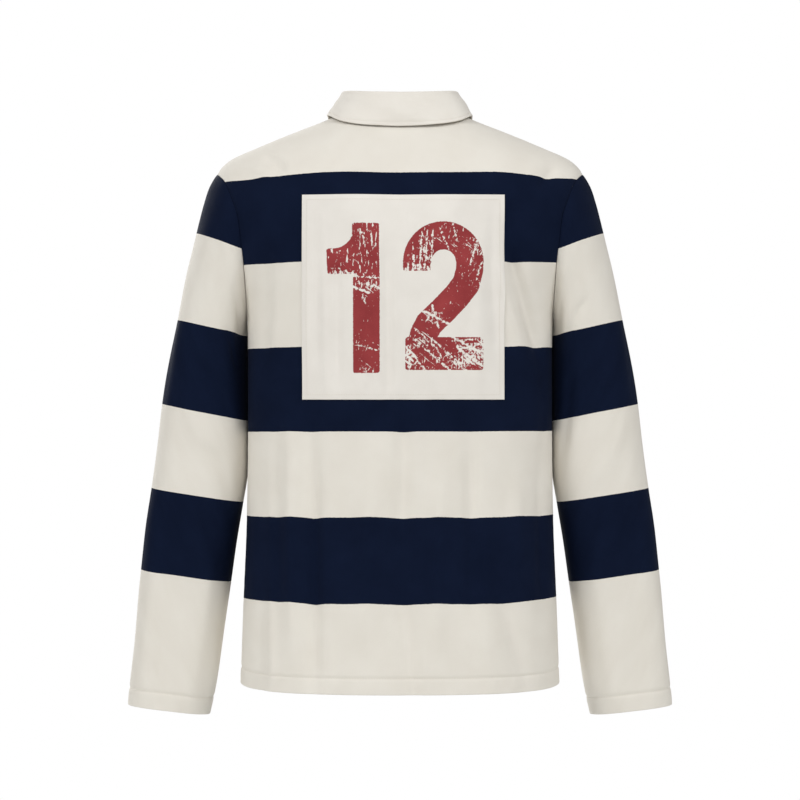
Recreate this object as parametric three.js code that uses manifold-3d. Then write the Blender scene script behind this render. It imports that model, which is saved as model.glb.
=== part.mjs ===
// A long-sleeved rugby shirt in heavy cotton jersey, filled out as if worn, with nobody in it.
// Millimetres, +Z up. The front faces -Y, the back faces +Y, and the wearer's left is +X.
// The origin is the middle of the neck, level with the inner ends of the shoulder seams,
// where the wearer's shoulders carry the shirt.
// Each cut piece of cloth is one closed wall of its own, parted from its neighbours at the seams.

import * as THREE from "three";
import { mergeVertices } from "three/addons/utils/BufferGeometryUtils.js";
import Module from "manifold-3d";

const wasm = await Module();
wasm.setup();

// Cloth and seams
const JERSEY = 1.6; // thickness of the body and sleeve cloth
const TWILL = 2.0; // the collar, two plies of twill
const TRIM = 1.0; // the number patch and the placket strips
const SEAM = 0.3; // gap between two pieces at a seam, and under what lies on a panel
const HEM_TURN = 20; // depth of the turned-up hem
const CUFF_TURN = 22; // depth of the turned-up cuff
const TURN_PLY = 1.2; // what a turned-up edge adds to the wall, on the inside

// Body
const HEM_Z = -711; // hem at centre back
const HEM_RISE = 8; // how much higher the hem is at the side seams
const UNDERARM_Z = -250;
const TIP_X = 229; // shoulder tip, where the sleeve seam crosses the shoulder
const TIP_Z = -70.5;
const RIDGE_Y = -3; // the shoulder seam's place from front to back
const SECTION_POWER = 2.3; // 2 is an ellipse, more is squarer
const LEVEL_ROWS_Z = -215; // rows below this are level, rows above bend towards the neckline

// Neck
const NECK_HALF = 74; // half the neck opening's width at the shoulder seams
const NECK_BACK = 50; // from the shoulder line back to the neck seam
const NECK_FRONT = 69; // from the shoulder line forward to the neck seam

// Placket, buttons and patch
const PLACKET_WIDTH = 32;
const PLACKET_BOTTOM_Z = -256;
const SLIT_WIDTH = 24;
const SLIT_BOTTOM_Z = -248;
const UNDER_WIDTH = 30;
const BUTTON_RADIUS = 6.5;
const BUTTON_THICK = 3.2;
const BUTTON_LEVELS = [-99, -158, -217];
const PATCH = { left: 119, right: -127, top: -103, bottom: -352 };

// How finely the walls are divided
const HALF_COLUMNS = 15; // columns of a panel from its centre to its side
const NECK_COLUMNS = 9; // those of them that end at the neckline
const ARMHOLE_ROWS = 16; // rows of a panel, and half the columns of a sleeve, along the armhole
const BODY_ROWS = 12; // rows of a panel from the hem's turn to the underarm
const SLEEVE_STEPS = 17; // rows of a sleeve from the armhole to the cuff's turn

const RADIAN = Math.PI / 180;

// Sections of the body from the hem up: half width, where the side seam lies, and the reach
// of the back and the front. Above the underarm the half width is that of the full oval,
// which the armhole cuts short.
const BODY_SECTIONS = [
  { z: -712, half: 199, side: 6, back: 118, front: -119 },
  { z: -600, half: 195, side: 7, back: 114, front: -117 },
  { z: -500, half: 191, side: 8, back: 111, front: -116 },
  { z: -400, half: 189.5, side: 10, back: 112, front: -118 },
  { z: -300, half: 189.5, side: 12, back: 118, front: -122 },
  { z: -250, half: 190, side: 12, back: 121, front: -124 },
  { z: -230, half: 193.4, side: 11.7, back: 121.6, front: -124 },
  { z: -205, half: 202, side: 11, back: 121.8, front: -122.6 },
  { z: -180, half: 215, side: 10, back: 121.6, front: -120.4 },
  { z: -150, half: 230, side: 8.6, back: 121, front: -117 },
  { z: -110, half: 247, side: 7.2, back: 119.2, front: -112.6 },
  { z: -71, half: 257, side: 6, back: 117, front: -108 },
  { z: 20, half: 264, side: 4, back: 112, front: -104 },
];

// The shoulder line from the neck out: its height, how far down the cloth rounds over
// behind and in front, and the power of that rounding in front.
const SHOULDER = [
  { x: 0, z: 8, fallBack: 190, fallFront: 193, power: 1.35 },
  { x: 40, z: 7.2, fallBack: 160, fallFront: 182, power: 1.4 },
  { x: 74, z: 3.5, fallBack: 125, fallFront: 165, power: 1.5 },
  { x: 100, z: -6.5, fallBack: 108, fallFront: 150, power: 1.6 },
  { x: 140, z: -22, fallBack: 93, fallFront: 125, power: 1.8 },
  { x: 180, z: -38.6, fallBack: 84, fallFront: 102, power: 1.9 },
  { x: 210, z: -52, fallBack: 77, fallFront: 86, power: 2 },
  { x: 221, z: -60.6, fallBack: 74, fallFront: 81, power: 2 },
  { x: 229, z: -70.5, fallBack: 72, fallFront: 78, power: 2 },
];

// The armhole from the underarm up to the shoulder tip, as cut in the back and in the front
const ARMHOLE = [
  { z: -250, back: 190, front: 190 },
  { z: -235, back: 190.2, front: 188.5 },
  { z: -215, back: 191, front: 186.5 },
  { z: -184, back: 192.5, front: 186 },
  { z: -163, back: 195, front: 187.5 },
  { z: -130, back: 199, front: 193 },
  { z: -105, back: 207, front: 203 },
  { z: -82, back: 217.5, front: 215.5 },
  { z: -70.5, back: 229, front: 229 },
];

// Rings of a sleeve from the armhole to the cuff. Each is given by its outermost and its
// innermost point, its reach behind and in front, and how much of the armhole's own shape it keeps.
const SLEEVE_RINGS = [
  { outX: 229, outZ: -70.5, inX: 190, inZ: -250, back: 74, front: -72, keep: 1 },
  { outX: 237.6, outZ: -87, inX: 190.8, inZ: -250.8, back: 75, front: -74, keep: 0.84 },
  { outX: 244.8, outZ: -109, inX: 191.1, inZ: -253.8, back: 74, front: -76, keep: 0.66 },
  { outX: 251.7, outZ: -134, inX: 191, inZ: -258, back: 71, front: -77, keep: 0.48 },
  { outX: 259.5, outZ: -165, inX: 190.6, inZ: -263.4, back: 67, front: -77, keep: 0.32 },
  { outX: 268.6, outZ: -202, inX: 190, inZ: -270.4, back: 62, front: -77, keep: 0.17 },
  { outX: 279, outZ: -253, inX: 189.6, inZ: -281, back: 56, front: -77, keep: 0.06 },
  { outX: 288.3, outZ: -300, inX: 189.2, inZ: -322, back: 50, front: -77, keep: 0 },
  { outX: 297, outZ: -353, inX: 189.1, inZ: -373, back: 44, front: -76, keep: 0 },
  { outX: 304.8, outZ: -409, inX: 190, inZ: -428, back: 38, front: -76, keep: 0 },
  { outX: 312, outZ: -466, inX: 198, inZ: -484, back: 32, front: -76, keep: 0 },
  { outX: 320.5, outZ: -522, inX: 206.4, inZ: -538, back: 26, front: -75, keep: 0 },
  { outX: 327.6, outZ: -586, inX: 215.3, inZ: -601, back: 20, front: -75, keep: 0 },
  { outX: 333.4, outZ: -647, inX: 224, inZ: -660, back: 14, front: -75, keep: 0 },
  { outX: 338.6, outZ: -697, inX: 232, inZ: -709, back: 8, front: -75, keep: 0 },
  { outX: 342, outZ: -735.5, inX: 239.3, inZ: -747.5, back: 4, front: -75, keep: 0 },
];
const RING_POWER = 2.15;

// The collar from centre back round to the front end: its fold line, and the place on the
// panels over which the leaf's free edge hangs. Turn is the angle round the neck.
const COLLAR = [
  { turn: 0, foldX: 0, foldY: 44.5, foldZ: 27.5, edgeX: 0, edgeZ: -15 },
  { turn: 30, foldX: 35, foldY: 37.5, foldZ: 28.6, edgeX: 45, edgeZ: -14 },
  { turn: 60, foldX: 59.5, foldY: 20, foldZ: 31, edgeX: 76, edgeZ: -10 },
  { turn: 90, foldX: 67, foldY: -4, foldZ: 32.5, edgeX: 90, edgeZ: -2.9 },
  { turn: 115, foldX: 62, foldY: -28, foldZ: 21, edgeX: 88.5, edgeZ: -28 },
  { turn: 140, foldX: 45, foldY: -49, foldZ: -7, edgeX: 77, edgeZ: -63 },
  { turn: 160, foldX: 24, foldY: -60, foldZ: -34, edgeX: 61, edgeZ: -93.5 },
  { turn: 178, foldX: 4, foldY: -64.5, foldZ: -52, edgeX: 44, edgeZ: -114 },
];
const COLLAR_END = 178; // the turn at which each end of the collar stops
const FOLD_RADIUS = 2.6; // of the collar's middle surface, over the fold
const LEAF_CLEAR = 4.5; // from the leaf's free edge to the panel under it
const LEAF_BULGE = 3; // of the leaf at centre back and in front, none at the sides
const STAND_LIFT = 1.5; // from the neck seam up to the collar's lower edge
const STAND_INSET = 0.7; // from the neck seam in to the middle of the collar's lower edge

// The largest soft folds of the panels: a line from (x0, z0) to (x1, z1), its width to each
// side, and its depth, which is above zero for a ridge.
const BACK_FOLDS = [
  { x0: 152, z0: -300, x1: 148, z1: -760, width: 22, depth: -3.4 },
  { x0: 116, z0: -420, x1: 110, z1: -780, width: 26, depth: 2.6 },
  { x0: 60, z0: -450, x1: 52, z1: -790, width: 28, depth: -2.2 },
  { x0: 2, z0: -400, x1: -4, z1: -790, width: 30, depth: -2.6 },
  { x0: -62, z0: -430, x1: -66, z1: -780, width: 27, depth: 2.2 },
  { x0: -112, z0: -420, x1: -116, z1: -780, width: 26, depth: -2.4 },
  { x0: -152, z0: -190, x1: -156, z1: -470, width: 15, depth: -4.2 },
  { x0: -134, z0: -250, x1: -140, z1: -420, width: 13, depth: 2.2 },
  { x0: 158, z0: -150, x1: 164, z1: -300, width: 14, depth: -2.6 },
];
const FRONT_FOLDS = [
  { x0: 140, z0: -230, x1: 150, z1: -780, width: 24, depth: -3.6 },
  { x0: 92, z0: -330, x1: 98, z1: -790, width: 28, depth: 3 },
  { x0: 34, z0: -380, x1: 36, z1: -790, width: 26, depth: -2.6 },
  { x0: -40, z0: -370, x1: -44, z1: -790, width: 28, depth: 2.6 },
  { x0: -98, z0: -300, x1: -100, z1: -780, width: 26, depth: -3.2 },
  { x0: -148, z0: -220, x1: -152, z1: -770, width: 22, depth: 2.6 },
  { x0: 168, z0: -215, x1: 112, z1: -150, width: 13, depth: -3 },
  { x0: -168, z0: -215, x1: -114, z1: -152, width: 13, depth: -3 },
];

// The largest soft folds of a sleeve, by the angle round it (0 outside, 90 behind, 180 inside)
// and the share of its length.
const SLEEVE_FOLDS = {
  left: [
    { turn0: 128, from: 0.12, turn1: 120, to: 0.5, width: 15, depth: -6 },
    { turn0: 60, from: 0.42, turn1: 112, to: 0.56, width: 16, depth: -2.4 },
    { turn0: 300, from: 0.3, turn1: 286, to: 0.9, width: 20, depth: -3 },
    { turn0: 235, from: 0.1, turn1: 228, to: 0.48, width: 15, depth: -5 },
    { turn0: 84, from: 0.62, turn1: 70, to: 1.05, width: 20, depth: -2.2 },
  ],
  right: [
    { turn0: 126, from: 0.14, turn1: 122, to: 0.46, width: 14, depth: -4.6 },
    { turn0: 118, from: 0.46, turn1: 132, to: 0.66, width: 15, depth: -3.2 },
    { turn0: 66, from: 0.5, turn1: 106, to: 0.62, width: 16, depth: -2 },
    { turn0: 296, from: 0.34, turn1: 282, to: 0.92, width: 20, depth: -3 },
    { turn0: 232, from: 0.1, turn1: 226, to: 0.5, width: 15, depth: -5 },
  ],
};

const CREAM = 0xe0dbd2;
const NAVY = 0x151c2f;

function clamp(value, low, high) {
  return Math.min(high, Math.max(low, value));
}

function smooth(share) {
  const s = clamp(share, 0, 1);
  return s * s * (3 - 2 * s);
}

// Slopes of a cubic through a table's points that never overshoots them
function slopes(places, values) {
  const steps = places.slice(1).map((p, i) => (values[i + 1] - values[i]) / (p - places[i]));
  return values.map((_, i) => {
    if (i === 0) return steps[0];
    if (i === steps.length) return steps[i - 1];
    const before = steps[i - 1];
    const after = steps[i];
    return before * after <= 0 ? 0 : (2 * before * after) / (before + after);
  });
}

// A function that reads every column of a table at any place along its key column
function reader(table, key) {
  const places = table.map((row) => row[key]);
  const columns = Object.keys(table[0]).filter((name) => name !== key);
  const curves = columns.map((name) => {
    const values = table.map((row) => row[name]);
    return { name, values, tangents: slopes(places, values) };
  });
  return (at) => {
    const place = clamp(at, places[0], places[places.length - 1]);
    let i = 0;
    while (i < places.length - 2 && place > places[i + 1]) i += 1;
    const step = places[i + 1] - places[i];
    const t = (place - places[i]) / step;
    const found = {};
    for (const { name, values, tangents } of curves) {
      found[name] =
        values[i] * (1 + 2 * t) * (1 - t) ** 2 +
        tangents[i] * step * t * (1 - t) ** 2 +
        values[i + 1] * t * t * (3 - 2 * t) +
        tangents[i + 1] * step * t * t * (t - 1);
    }
    return found;
  };
}

const bodyAt = reader(BODY_SECTIONS, "z");
const shoulderAt = reader(SHOULDER, "x");
const armholeAt = reader(ARMHOLE, "z");
const collarAt = reader(COLLAR, "turn");
const ringAt = reader(
  SLEEVE_RINGS.map((ring, index) => ({ index, ...ring })),
  "index",
);

// The cloth's y at a place on the back (side 1) or the front (side -1), before any fold
function clothY(side, x, z) {
  const body = bodyAt(z);
  const shoulder = shoulderAt(Math.abs(x));
  const share = clamp(Math.abs(x) / body.half, 0, 1);
  const round = (1 - share ** SECTION_POWER) ** (1 / SECTION_POWER);
  const reach = side > 0 ? body.back : body.front;
  const hanging = body.side + (reach - body.side) * round;
  const fall = side > 0 ? shoulder.fallBack : shoulder.fallFront;
  const power = side > 0 ? 2 : shoulder.power;
  const drop = clamp((shoulder.z - z) / fall, 0, 1);
  const over = (1 - (1 - drop) ** power) ** (1 / power);
  return RIDGE_Y + (hanging - RIDGE_Y) * over;
}

// The neck seam, by the angle round the neck from centre back
function neckSeam(turn) {
  const side = Math.abs(turn) <= 90 ? 1 : -1;
  const x = NECK_HALF * Math.sin(turn * RADIAN);
  const y = RIDGE_Y + (side > 0 ? NECK_BACK : NECK_FRONT) * Math.cos(turn * RADIAN);
  const shoulder = shoulderAt(Math.abs(x));
  const fall = side > 0 ? shoulder.fallBack : shoulder.fallFront;
  const power = side > 0 ? 2 : shoulder.power;
  const body = bodyAt(shoulder.z);
  const round = (1 - (Math.abs(x) / body.half) ** SECTION_POWER) ** (1 / SECTION_POWER);
  const hanging = body.side + ((side > 0 ? body.back : body.front) - body.side) * round;
  const over = clamp((y - RIDGE_Y) / (hanging - RIDGE_Y), 0, 1);
  const drop = 1 - (1 - over ** power) ** (1 / power);
  return new THREE.Vector3(x, y, shoulder.z - fall * drop);
}

// Heights of the panel rows along the armhole, from the underarm (0) to the shoulder tip (1)
function armholeZ(share) {
  return (TIP_Z + UNDERARM_Z) / 2 - ((TIP_Z - UNDERARM_Z) / 2) * Math.cos(share * Math.PI);
}

// The upper end of a panel's column: on the neckline or on the shoulder seam
function topOf(side, across) {
  const share = Math.abs(across);
  const neckShare = NECK_COLUMNS / HALF_COLUMNS;
  if (share <= neckShare) {
    const quarter = (share / neckShare) * 90;
    const seam = neckSeam(side > 0 ? quarter : 180 - quarter);
    return { x: seam.x, z: seam.z };
  }
  const x = NECK_HALF + ((share - neckShare) / (1 - neckShare)) * (TIP_X - NECK_HALF);
  return { x, z: shoulderAt(x).z };
}

// A point of a panel. across runs from -1 to 1 between the side seams. up runs from 0 at the
// hem to 1 at the underarm, and on to 2 at the shoulder tip.
function panelPoint(side, across, up) {
  const share = Math.abs(across);
  const sign = Math.sign(across);
  if (up <= 1) {
    const hem = HEM_Z + HEM_RISE * share ** 3;
    const z = hem + (UNDERARM_Z - hem) * up;
    const body = bodyAt(z);
    const x = body.half * Math.sin((share * Math.PI) / 2) ** (2 / SECTION_POWER);
    return new THREE.Vector3(sign * x, clothY(side, x, z), z);
  }
  const edgeZ = armholeZ(up - 1);
  const edgeX = armholeAt(edgeZ)[side > 0 ? "back" : "front"];
  const body = bodyAt(edgeZ);
  const edgeAngle = Math.asin(clamp((edgeX / body.half) ** (SECTION_POWER / 2), 0, 1));
  const bend = smooth((edgeZ - LEVEL_ROWS_Z) / (TIP_Z - LEVEL_ROWS_Z));
  const top = topOf(side, across);
  const level = (body.half * Math.sin(share * edgeAngle) ** (2 / SECTION_POWER)) / edgeX;
  const x = edgeX * (level * (1 - bend) + (top.x / TIP_X) * bend);
  const z = edgeZ + (top.z - TIP_Z) * bend;
  return new THREE.Vector3(sign * x, clothY(side, x, z), z);
}

// How far soft folds move a panel's point, outward above zero. They fade towards the seams.
function panelFold(folds, point, across, up) {
  const calm = smooth((1 - Math.abs(across)) * 6) * smooth((1.85 - up) * 3);
  const moved = folds.reduce((sum, f) => {
    const dx = f.x1 - f.x0;
    const dz = f.z1 - f.z0;
    const length = Math.hypot(dx, dz);
    const t = ((point.x - f.x0) * dx + (point.z - f.z0) * dz) / length ** 2;
    const away = ((point.x - f.x0) * dz - (point.z - f.z0) * dx) / length;
    const lasts = smooth(t * 3) * smooth((1 - t) * 3);
    return sum + f.depth * lasts * Math.exp(-((away / f.width) ** 2));
  }, 0);
  return moved * calm;
}

// A sleeve's point on the wearer's left. turn is 0 outside, 90 behind, 180 inside and 270 in
// front, and index runs along SLEEVE_RINGS.
function sleevePoint(turn, index) {
  const ring = ringAt(index);
  const first = SLEEVE_RINGS[0];
  const onRing = (r) => {
    const c = Math.cos(turn * RADIAN);
    const s = Math.sin(turn * RADIAN);
    const across = Math.sign(c) * Math.abs(c) ** (2 / RING_POWER);
    const deep = Math.sign(s) * Math.abs(s) ** (2 / RING_POWER);
    const middle = (r.back + r.front) / 2;
    return new THREE.Vector3(
      (r.outX + r.inX) / 2 + ((r.outX - r.inX) / 2) * across,
      middle + ((r.back - r.front) / 2) * deep,
      (r.outZ + r.inZ) / 2 + ((r.outZ - r.inZ) / 2) * across,
    );
  };
  const point = onRing(ring);
  if (ring.keep > 0) {
    point.addScaledVector(armholePoint(turn).sub(onRing(first)), ring.keep);
  }
  return point;
}

// The armhole seam at the same angles as a sleeve's rings
function armholePoint(turn) {
  const side = turn <= 180 ? 1 : -1;
  const z = (TIP_Z + UNDERARM_Z) / 2 + ((TIP_Z - UNDERARM_Z) / 2) * Math.cos(turn * RADIAN);
  const x = armholeAt(z)[side > 0 ? "back" : "front"];
  return new THREE.Vector3(x, clothY(side, x, z), z);
}

function sleeveFold(folds, turn, share) {
  return folds.reduce((sum, f) => {
    const t = (share - f.from) / (f.to - f.from);
    const middle = f.turn0 + (f.turn1 - f.turn0) * t;
    const away = ((turn - middle + 540) % 360) - 180;
    const lasts = smooth(t * 3) * smooth((1 - t) * 3);
    return sum + f.depth * lasts * Math.exp(-((away / f.width) ** 2));
  }, 0);
}

// Unit normals of a grid of points. wrap says that its columns close into a ring.
function gridNormals(grid, wrap) {
  const rows = grid.length;
  const columns = grid[0].length;
  return grid.map((row, i) =>
    row.map((_, j) => {
      const left = wrap ? (j + columns - 1) % columns : Math.max(j - 1, 0);
      const right = wrap ? (j + 1) % columns : Math.min(j + 1, columns - 1);
      const across = grid[i][right].clone().sub(grid[i][left]);
      const up = grid[Math.min(i + 1, rows - 1)][j].clone().sub(grid[Math.max(i - 1, 0)][j]);
      return across.cross(up).normalize();
    }),
  );
}

// The grid moved along its normals by a distance, or by one worked out from row and column
function moved(grid, normals, distance) {
  return grid.map((row, i) =>
    row.map((point, j) => {
      const by = typeof distance === "function" ? distance(i, j) : distance;
      return point.clone().addScaledVector(normals[i][j], by);
    }),
  );
}

// One closed wall between two grids of the same size
function wallGeometry(outer, inner, wrap) {
  const rows = outer.length;
  const columns = outer[0].length;
  const place = (sheet, i, j) => (sheet * rows + i) * columns + (j % columns);
  const last = wrap ? columns : columns - 1;
  const faces = [];
  const quad = (a, b, c, d) => faces.push(a, b, c, a, c, d);
  for (let i = 0; i < rows - 1; i += 1) {
    for (let j = 0; j < last; j += 1) {
      quad(place(0, i, j), place(0, i, j + 1), place(0, i + 1, j + 1), place(0, i + 1, j));
      quad(place(1, i, j), place(1, i + 1, j), place(1, i + 1, j + 1), place(1, i, j + 1));
    }
  }
  for (let j = 0; j < last; j += 1) {
    const top = rows - 1;
    quad(place(0, 0, j), place(1, 0, j), place(1, 0, j + 1), place(0, 0, j + 1));
    quad(place(0, top, j), place(0, top, j + 1), place(1, top, j + 1), place(1, top, j));
  }
  for (let i = 0; i < rows - 1 && !wrap; i += 1) {
    const end = columns - 1;
    quad(place(0, i, 0), place(0, i + 1, 0), place(1, i + 1, 0), place(1, i, 0));
    quad(place(0, i, end), place(1, i, end), place(1, i + 1, end), place(0, i + 1, end));
  }
  const geometry = new THREE.BufferGeometry();
  geometry.setFromPoints([...outer.flat(), ...inner.flat()]);
  geometry.setIndex(faces);
  return geometry;
}

function asSolid(geometry) {
  const bare = geometry.clone();
  bare.deleteAttribute("normal");
  bare.deleteAttribute("uv");
  const merged = mergeVertices(bare, 1e-3);
  const vertProperties = new Float32Array(merged.attributes.position.array);
  const triVerts = new Uint32Array(merged.index.array);
  return new wasm.Manifold(new wasm.Mesh({ numProp: 3, vertProperties, triVerts }));
}

function asGeometry(solid) {
  const mesh = solid.getMesh();
  const geometry = new THREE.BufferGeometry();
  geometry.setAttribute("position", new THREE.BufferAttribute(mesh.vertProperties, 3));
  geometry.setIndex(new THREE.BufferAttribute(mesh.triVerts, 1));
  return geometry;
}

// A solid box between two corners
function boxSolid(low, high) {
  const size = high.clone().sub(low);
  const box = new THREE.BoxGeometry(size.x, size.y, size.z);
  const middle = low.clone().add(high).multiplyScalar(0.5);
  return asSolid(box.translate(middle.x, middle.y, middle.z));
}

// Rows of a panel as values of up: the hem's turn, the straight body, then the armhole
function panelRows() {
  const length = UNDERARM_Z - HEM_Z;
  const rows = [0, (HEM_TURN - 0.5) / length, (HEM_TURN + 0.5) / length];
  const start = (HEM_TURN + 0.5) / length;
  for (let i = 1; i <= BODY_ROWS; i += 1) rows.push(start + ((1 - start) * i) / BODY_ROWS);
  for (let i = 1; i <= ARMHOLE_ROWS; i += 1) rows.push(1 + i / ARMHOLE_ROWS);
  return rows;
}

// The outer face of a panel with its folds, and the face's normals
function panelSheet(side, folds) {
  const rows = panelRows();
  const columns = [];
  // Columns run so that the grid faces out of the shirt.
  for (let j = -HALF_COLUMNS; j <= HALF_COLUMNS; j += 1) columns.push((-side * j) / HALF_COLUMNS);
  const calm = rows.map((up) => columns.map((across) => panelPoint(side, across, up)));
  const outer = moved(calm, gridNormals(calm, false), (i, j) =>
    panelFold(folds, calm[i][j], columns[j], rows[i]),
  );
  outer.flat().forEach((point) => {
    point.y += (side * SEAM) / 2;
  });
  const normals = gridNormals(outer, false);
  // Along the shoulder seam both panels face straight up from it, so that their edges meet.
  const top = rows.length - 1;
  columns.forEach((across, j) => {
    if (Math.abs(across) * HALF_COLUMNS < NECK_COLUMNS) return;
    const x = Math.abs(outer[top][j].x);
    const slope = (shoulderAt(x + 1).z - shoulderAt(x - 1).z) / 2;
    normals[top][j].set(-slope * Math.sign(across), 0, 1).normalize();
  });
  rows.forEach((up, i) => {
    if (up > 1) return;
    normals[i][0].set(Math.sign(columns[0]), 0, 0);
    normals[i][columns.length - 1].set(-Math.sign(columns[0]), 0, 0);
  });
  return { outer, normals };
}

function panelWall({ outer, normals }) {
  const turnRows = 2; // rows of the turned-up hem
  const thick = (i) => -(JERSEY + (i < turnRows ? TURN_PLY : 0));
  return wallGeometry(outer, moved(outer, normals, thick), false);
}

// A strip or patch made from a panel's own points moved out, and trimmed by a box
function onPanel({ outer, normals }, from, to, box) {
  const far = moved(outer, normals, to);
  const near = moved(outer, normals, from);
  const sheet = asSolid(wallGeometry(far, near, false));
  return asGeometry(sheet.intersect(box));
}

// The outer face of a sleeve with its folds, and the face's normals, on the wearer's left
function sleeveSheet(folds) {
  const last = SLEEVE_RINGS.length - 1;
  const cuff = SLEEVE_RINGS[last];
  const before = SLEEVE_RINGS[last - 1];
  const spacing = Math.hypot(cuff.outX - before.outX, cuff.outZ - before.outZ);
  const turnAt = last - CUFF_TURN / spacing;
  const rows = [];
  for (let i = 0; i <= SLEEVE_STEPS; i += 1) {
    // Rows lie closer together near the armhole, where the sleeve turns.
    rows.push(turnAt * (i / SLEEVE_STEPS) ** 1.15);
  }
  rows.push(turnAt + 1 / spacing, last);
  const turns = [];
  for (let j = 2 * ARMHOLE_ROWS; j > 0; j -= 1) turns.push((j * 180) / ARMHOLE_ROWS);
  const calm = rows.map((index) => turns.map((turn) => sleevePoint(turn, index)));
  const next = calm[1];
  calm[0].forEach((point, j) => {
    point.addScaledVector(next[j].clone().sub(point).normalize(), SEAM + 0.25);
  });
  const facing = gridNormals(calm, true);
  const outer = moved(calm, facing, (i, j) => sleeveFold(folds, turns[j], rows[i] / last));
  return { outer, normals: gridNormals(outer, true) };
}

// The same sheet on the other side of the body
function mirrored({ outer, normals }) {
  const across = new THREE.Vector3(-1, 1, 1);
  const turn = (grid) => grid.map((row) => row.map((v) => v.clone().multiply(across)).reverse());
  return { outer: turn(outer), normals: turn(normals) };
}

// Gives the walls on the two sides of an armhole seam one shared slant, so that they meet
// without crossing. Low in the armpit the walls already turn away from each other.
function mitreArmhole(sleeve, panels) {
  sleeve.outer[0].forEach((point, j) => {
    if (point.z < UNDERARM_Z + 10) return;
    const own = sleeve.normals[0][j];
    const meeting = [];
    for (const { outer, normals } of panels) {
      outer.forEach((row, i) => {
        for (const end of [0, row.length - 1]) {
          if (row[end].distanceTo(point) < 1) meeting.push(normals[i][end]);
        }
      });
    }
    const shared = own.clone().multiplyScalar(meeting.length);
    meeting.forEach((n) => shared.add(n));
    shared.normalize();
    [own, ...meeting].forEach((n) => n.copy(shared));
  });
}

function sleeveWall({ outer, normals }) {
  const thick = (i) => -(JERSEY + (i >= outer.length - 2 ? TURN_PLY : 0));
  return wallGeometry(outer, moved(outer, normals, thick), true);
}

// The collar's middle surface at one angle round the neck: up the stand, over the fold, and
// down the leaf to its free edge
function collarProfile(turn) {
  const sign = Math.sign(turn) || 1;
  const row = collarAt(Math.abs(turn));
  const seam = neckSeam(turn);
  const side = Math.abs(turn) <= 90 ? 1 : -1;
  const fold = new THREE.Vector3(sign * row.foldX, row.foldY, row.foldZ);
  const away = side * LEAF_CLEAR * Math.sqrt(Math.abs(Math.cos(turn * RADIAN)));
  const lift = LEAF_CLEAR * Math.sin(turn * RADIAN) ** 2;
  const edgeY = clothY(side, row.edgeX, row.edgeZ) + away;
  const edge = new THREE.Vector3(sign * row.edgeX, edgeY, row.edgeZ + lift);
  const outward = new THREE.Vector3(Math.sin(turn * RADIAN), Math.cos(turn * RADIAN), 0);
  const up = fold.clone().sub(seam).normalize();
  const base = seam.clone().addScaledVector(up, STAND_LIFT).addScaledVector(outward, -STAND_INSET);
  const crest = fold.clone().addScaledVector(up, -FOLD_RADIUS);
  const points = [0, 1, 2, 3].map((k) => base.clone().lerp(crest, k / 3));
  for (const angle of [45, 90, 135]) {
    const centre = crest.clone().addScaledVector(outward, FOLD_RADIUS);
    points.push(
      centre
        .addScaledVector(outward, -FOLD_RADIUS * Math.cos(angle * RADIAN))
        .addScaledVector(up, FOLD_RADIUS * Math.sin(angle * RADIAN)),
    );
  }
  const leafTop = crest.clone().addScaledVector(outward, 2 * FOLD_RADIUS);
  for (let k = 0; k <= 5; k += 1) {
    const bulge = LEAF_BULGE * Math.cos(turn * RADIAN) ** 2 * Math.sin((k / 5) * Math.PI);
    points.push(leafTop.clone().lerp(edge, k / 5).addScaledVector(outward, bulge));
  }
  return points;
}

function collarWall() {
  const turns = [];
  for (let turn = -170; turn <= 170; turn += 10) turns.push(turn);
  turns.unshift(-COLLAR_END);
  turns.push(COLLAR_END);
  const middle = turns.map(collarProfile);
  const normals = gridNormals(middle, false);
  return wallGeometry(
    moved(middle, normals, TWILL / 2),
    moved(middle, normals, -TWILL / 2),
    false,
  );
}

// A flat button with a raised rim, facing along +Z and standing on z = 0
function buttonGeometry() {
  const dish = BUTTON_RADIUS - 1.6;
  const profile = [
    [0, 0],
    [BUTTON_RADIUS - 0.8, 0],
    [BUTTON_RADIUS, 0.9],
    [BUTTON_RADIUS, BUTTON_THICK - 0.8],
    [BUTTON_RADIUS - 0.8, BUTTON_THICK],
    [dish, BUTTON_THICK],
    [dish - 0.6, BUTTON_THICK - 0.8],
    [0, BUTTON_THICK - 0.8],
  ];
  return new THREE.LatheGeometry(
    profile.map(([r, z]) => new THREE.Vector2(r, z)),
    16,
  ).rotateX(Math.PI / 2);
}

function cloth(name, geometry, colour) {
  const facing = geometry.index ? geometry : mergeVertices(geometry);
  facing.computeVertexNormals();
  const material = new THREE.MeshStandardMaterial({ color: colour, roughness: 0.9, metalness: 0 });
  const mesh = new THREE.Mesh(facing, material);
  mesh.name = name;
  return mesh;
}

// A button at a level of the placket, turned to face as the cloth does there and then brought
// in until it stands one seam gap off the strip under it
function seatedButton(level, strip) {
  const lean = (clothY(-1, 0, level + 5) - clothY(-1, 0, level - 5)) / 10;
  const facing = new THREE.Vector3(0, -1, lean).normalize();
  const turned = new THREE.Quaternion().setFromUnitVectors(new THREE.Vector3(0, 0, 1), facing);
  const start = new THREE.Vector3(0, clothY(-1, 0, level), level).addScaledVector(facing, 4);
  const button = buttonGeometry().applyQuaternion(turned).translate(start.x, start.y, start.z);
  const reach = asSolid(button).minGap(asSolid(strip), 8) - SEAM;
  return button.translate(-facing.x * reach, -facing.y * reach, -facing.z * reach);
}

const shirt = new THREE.Group();
const backSheet = panelSheet(1, BACK_FOLDS);
const frontSheet = panelSheet(-1, FRONT_FOLDS);
const leftSheet = sleeveSheet(SLEEVE_FOLDS.left);
const rightSheet = mirrored(sleeveSheet(SLEEVE_FOLDS.right));
mitreArmhole(leftSheet, [backSheet, frontSheet]);
mitreArmhole(rightSheet, [backSheet, frontSheet]);

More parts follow.
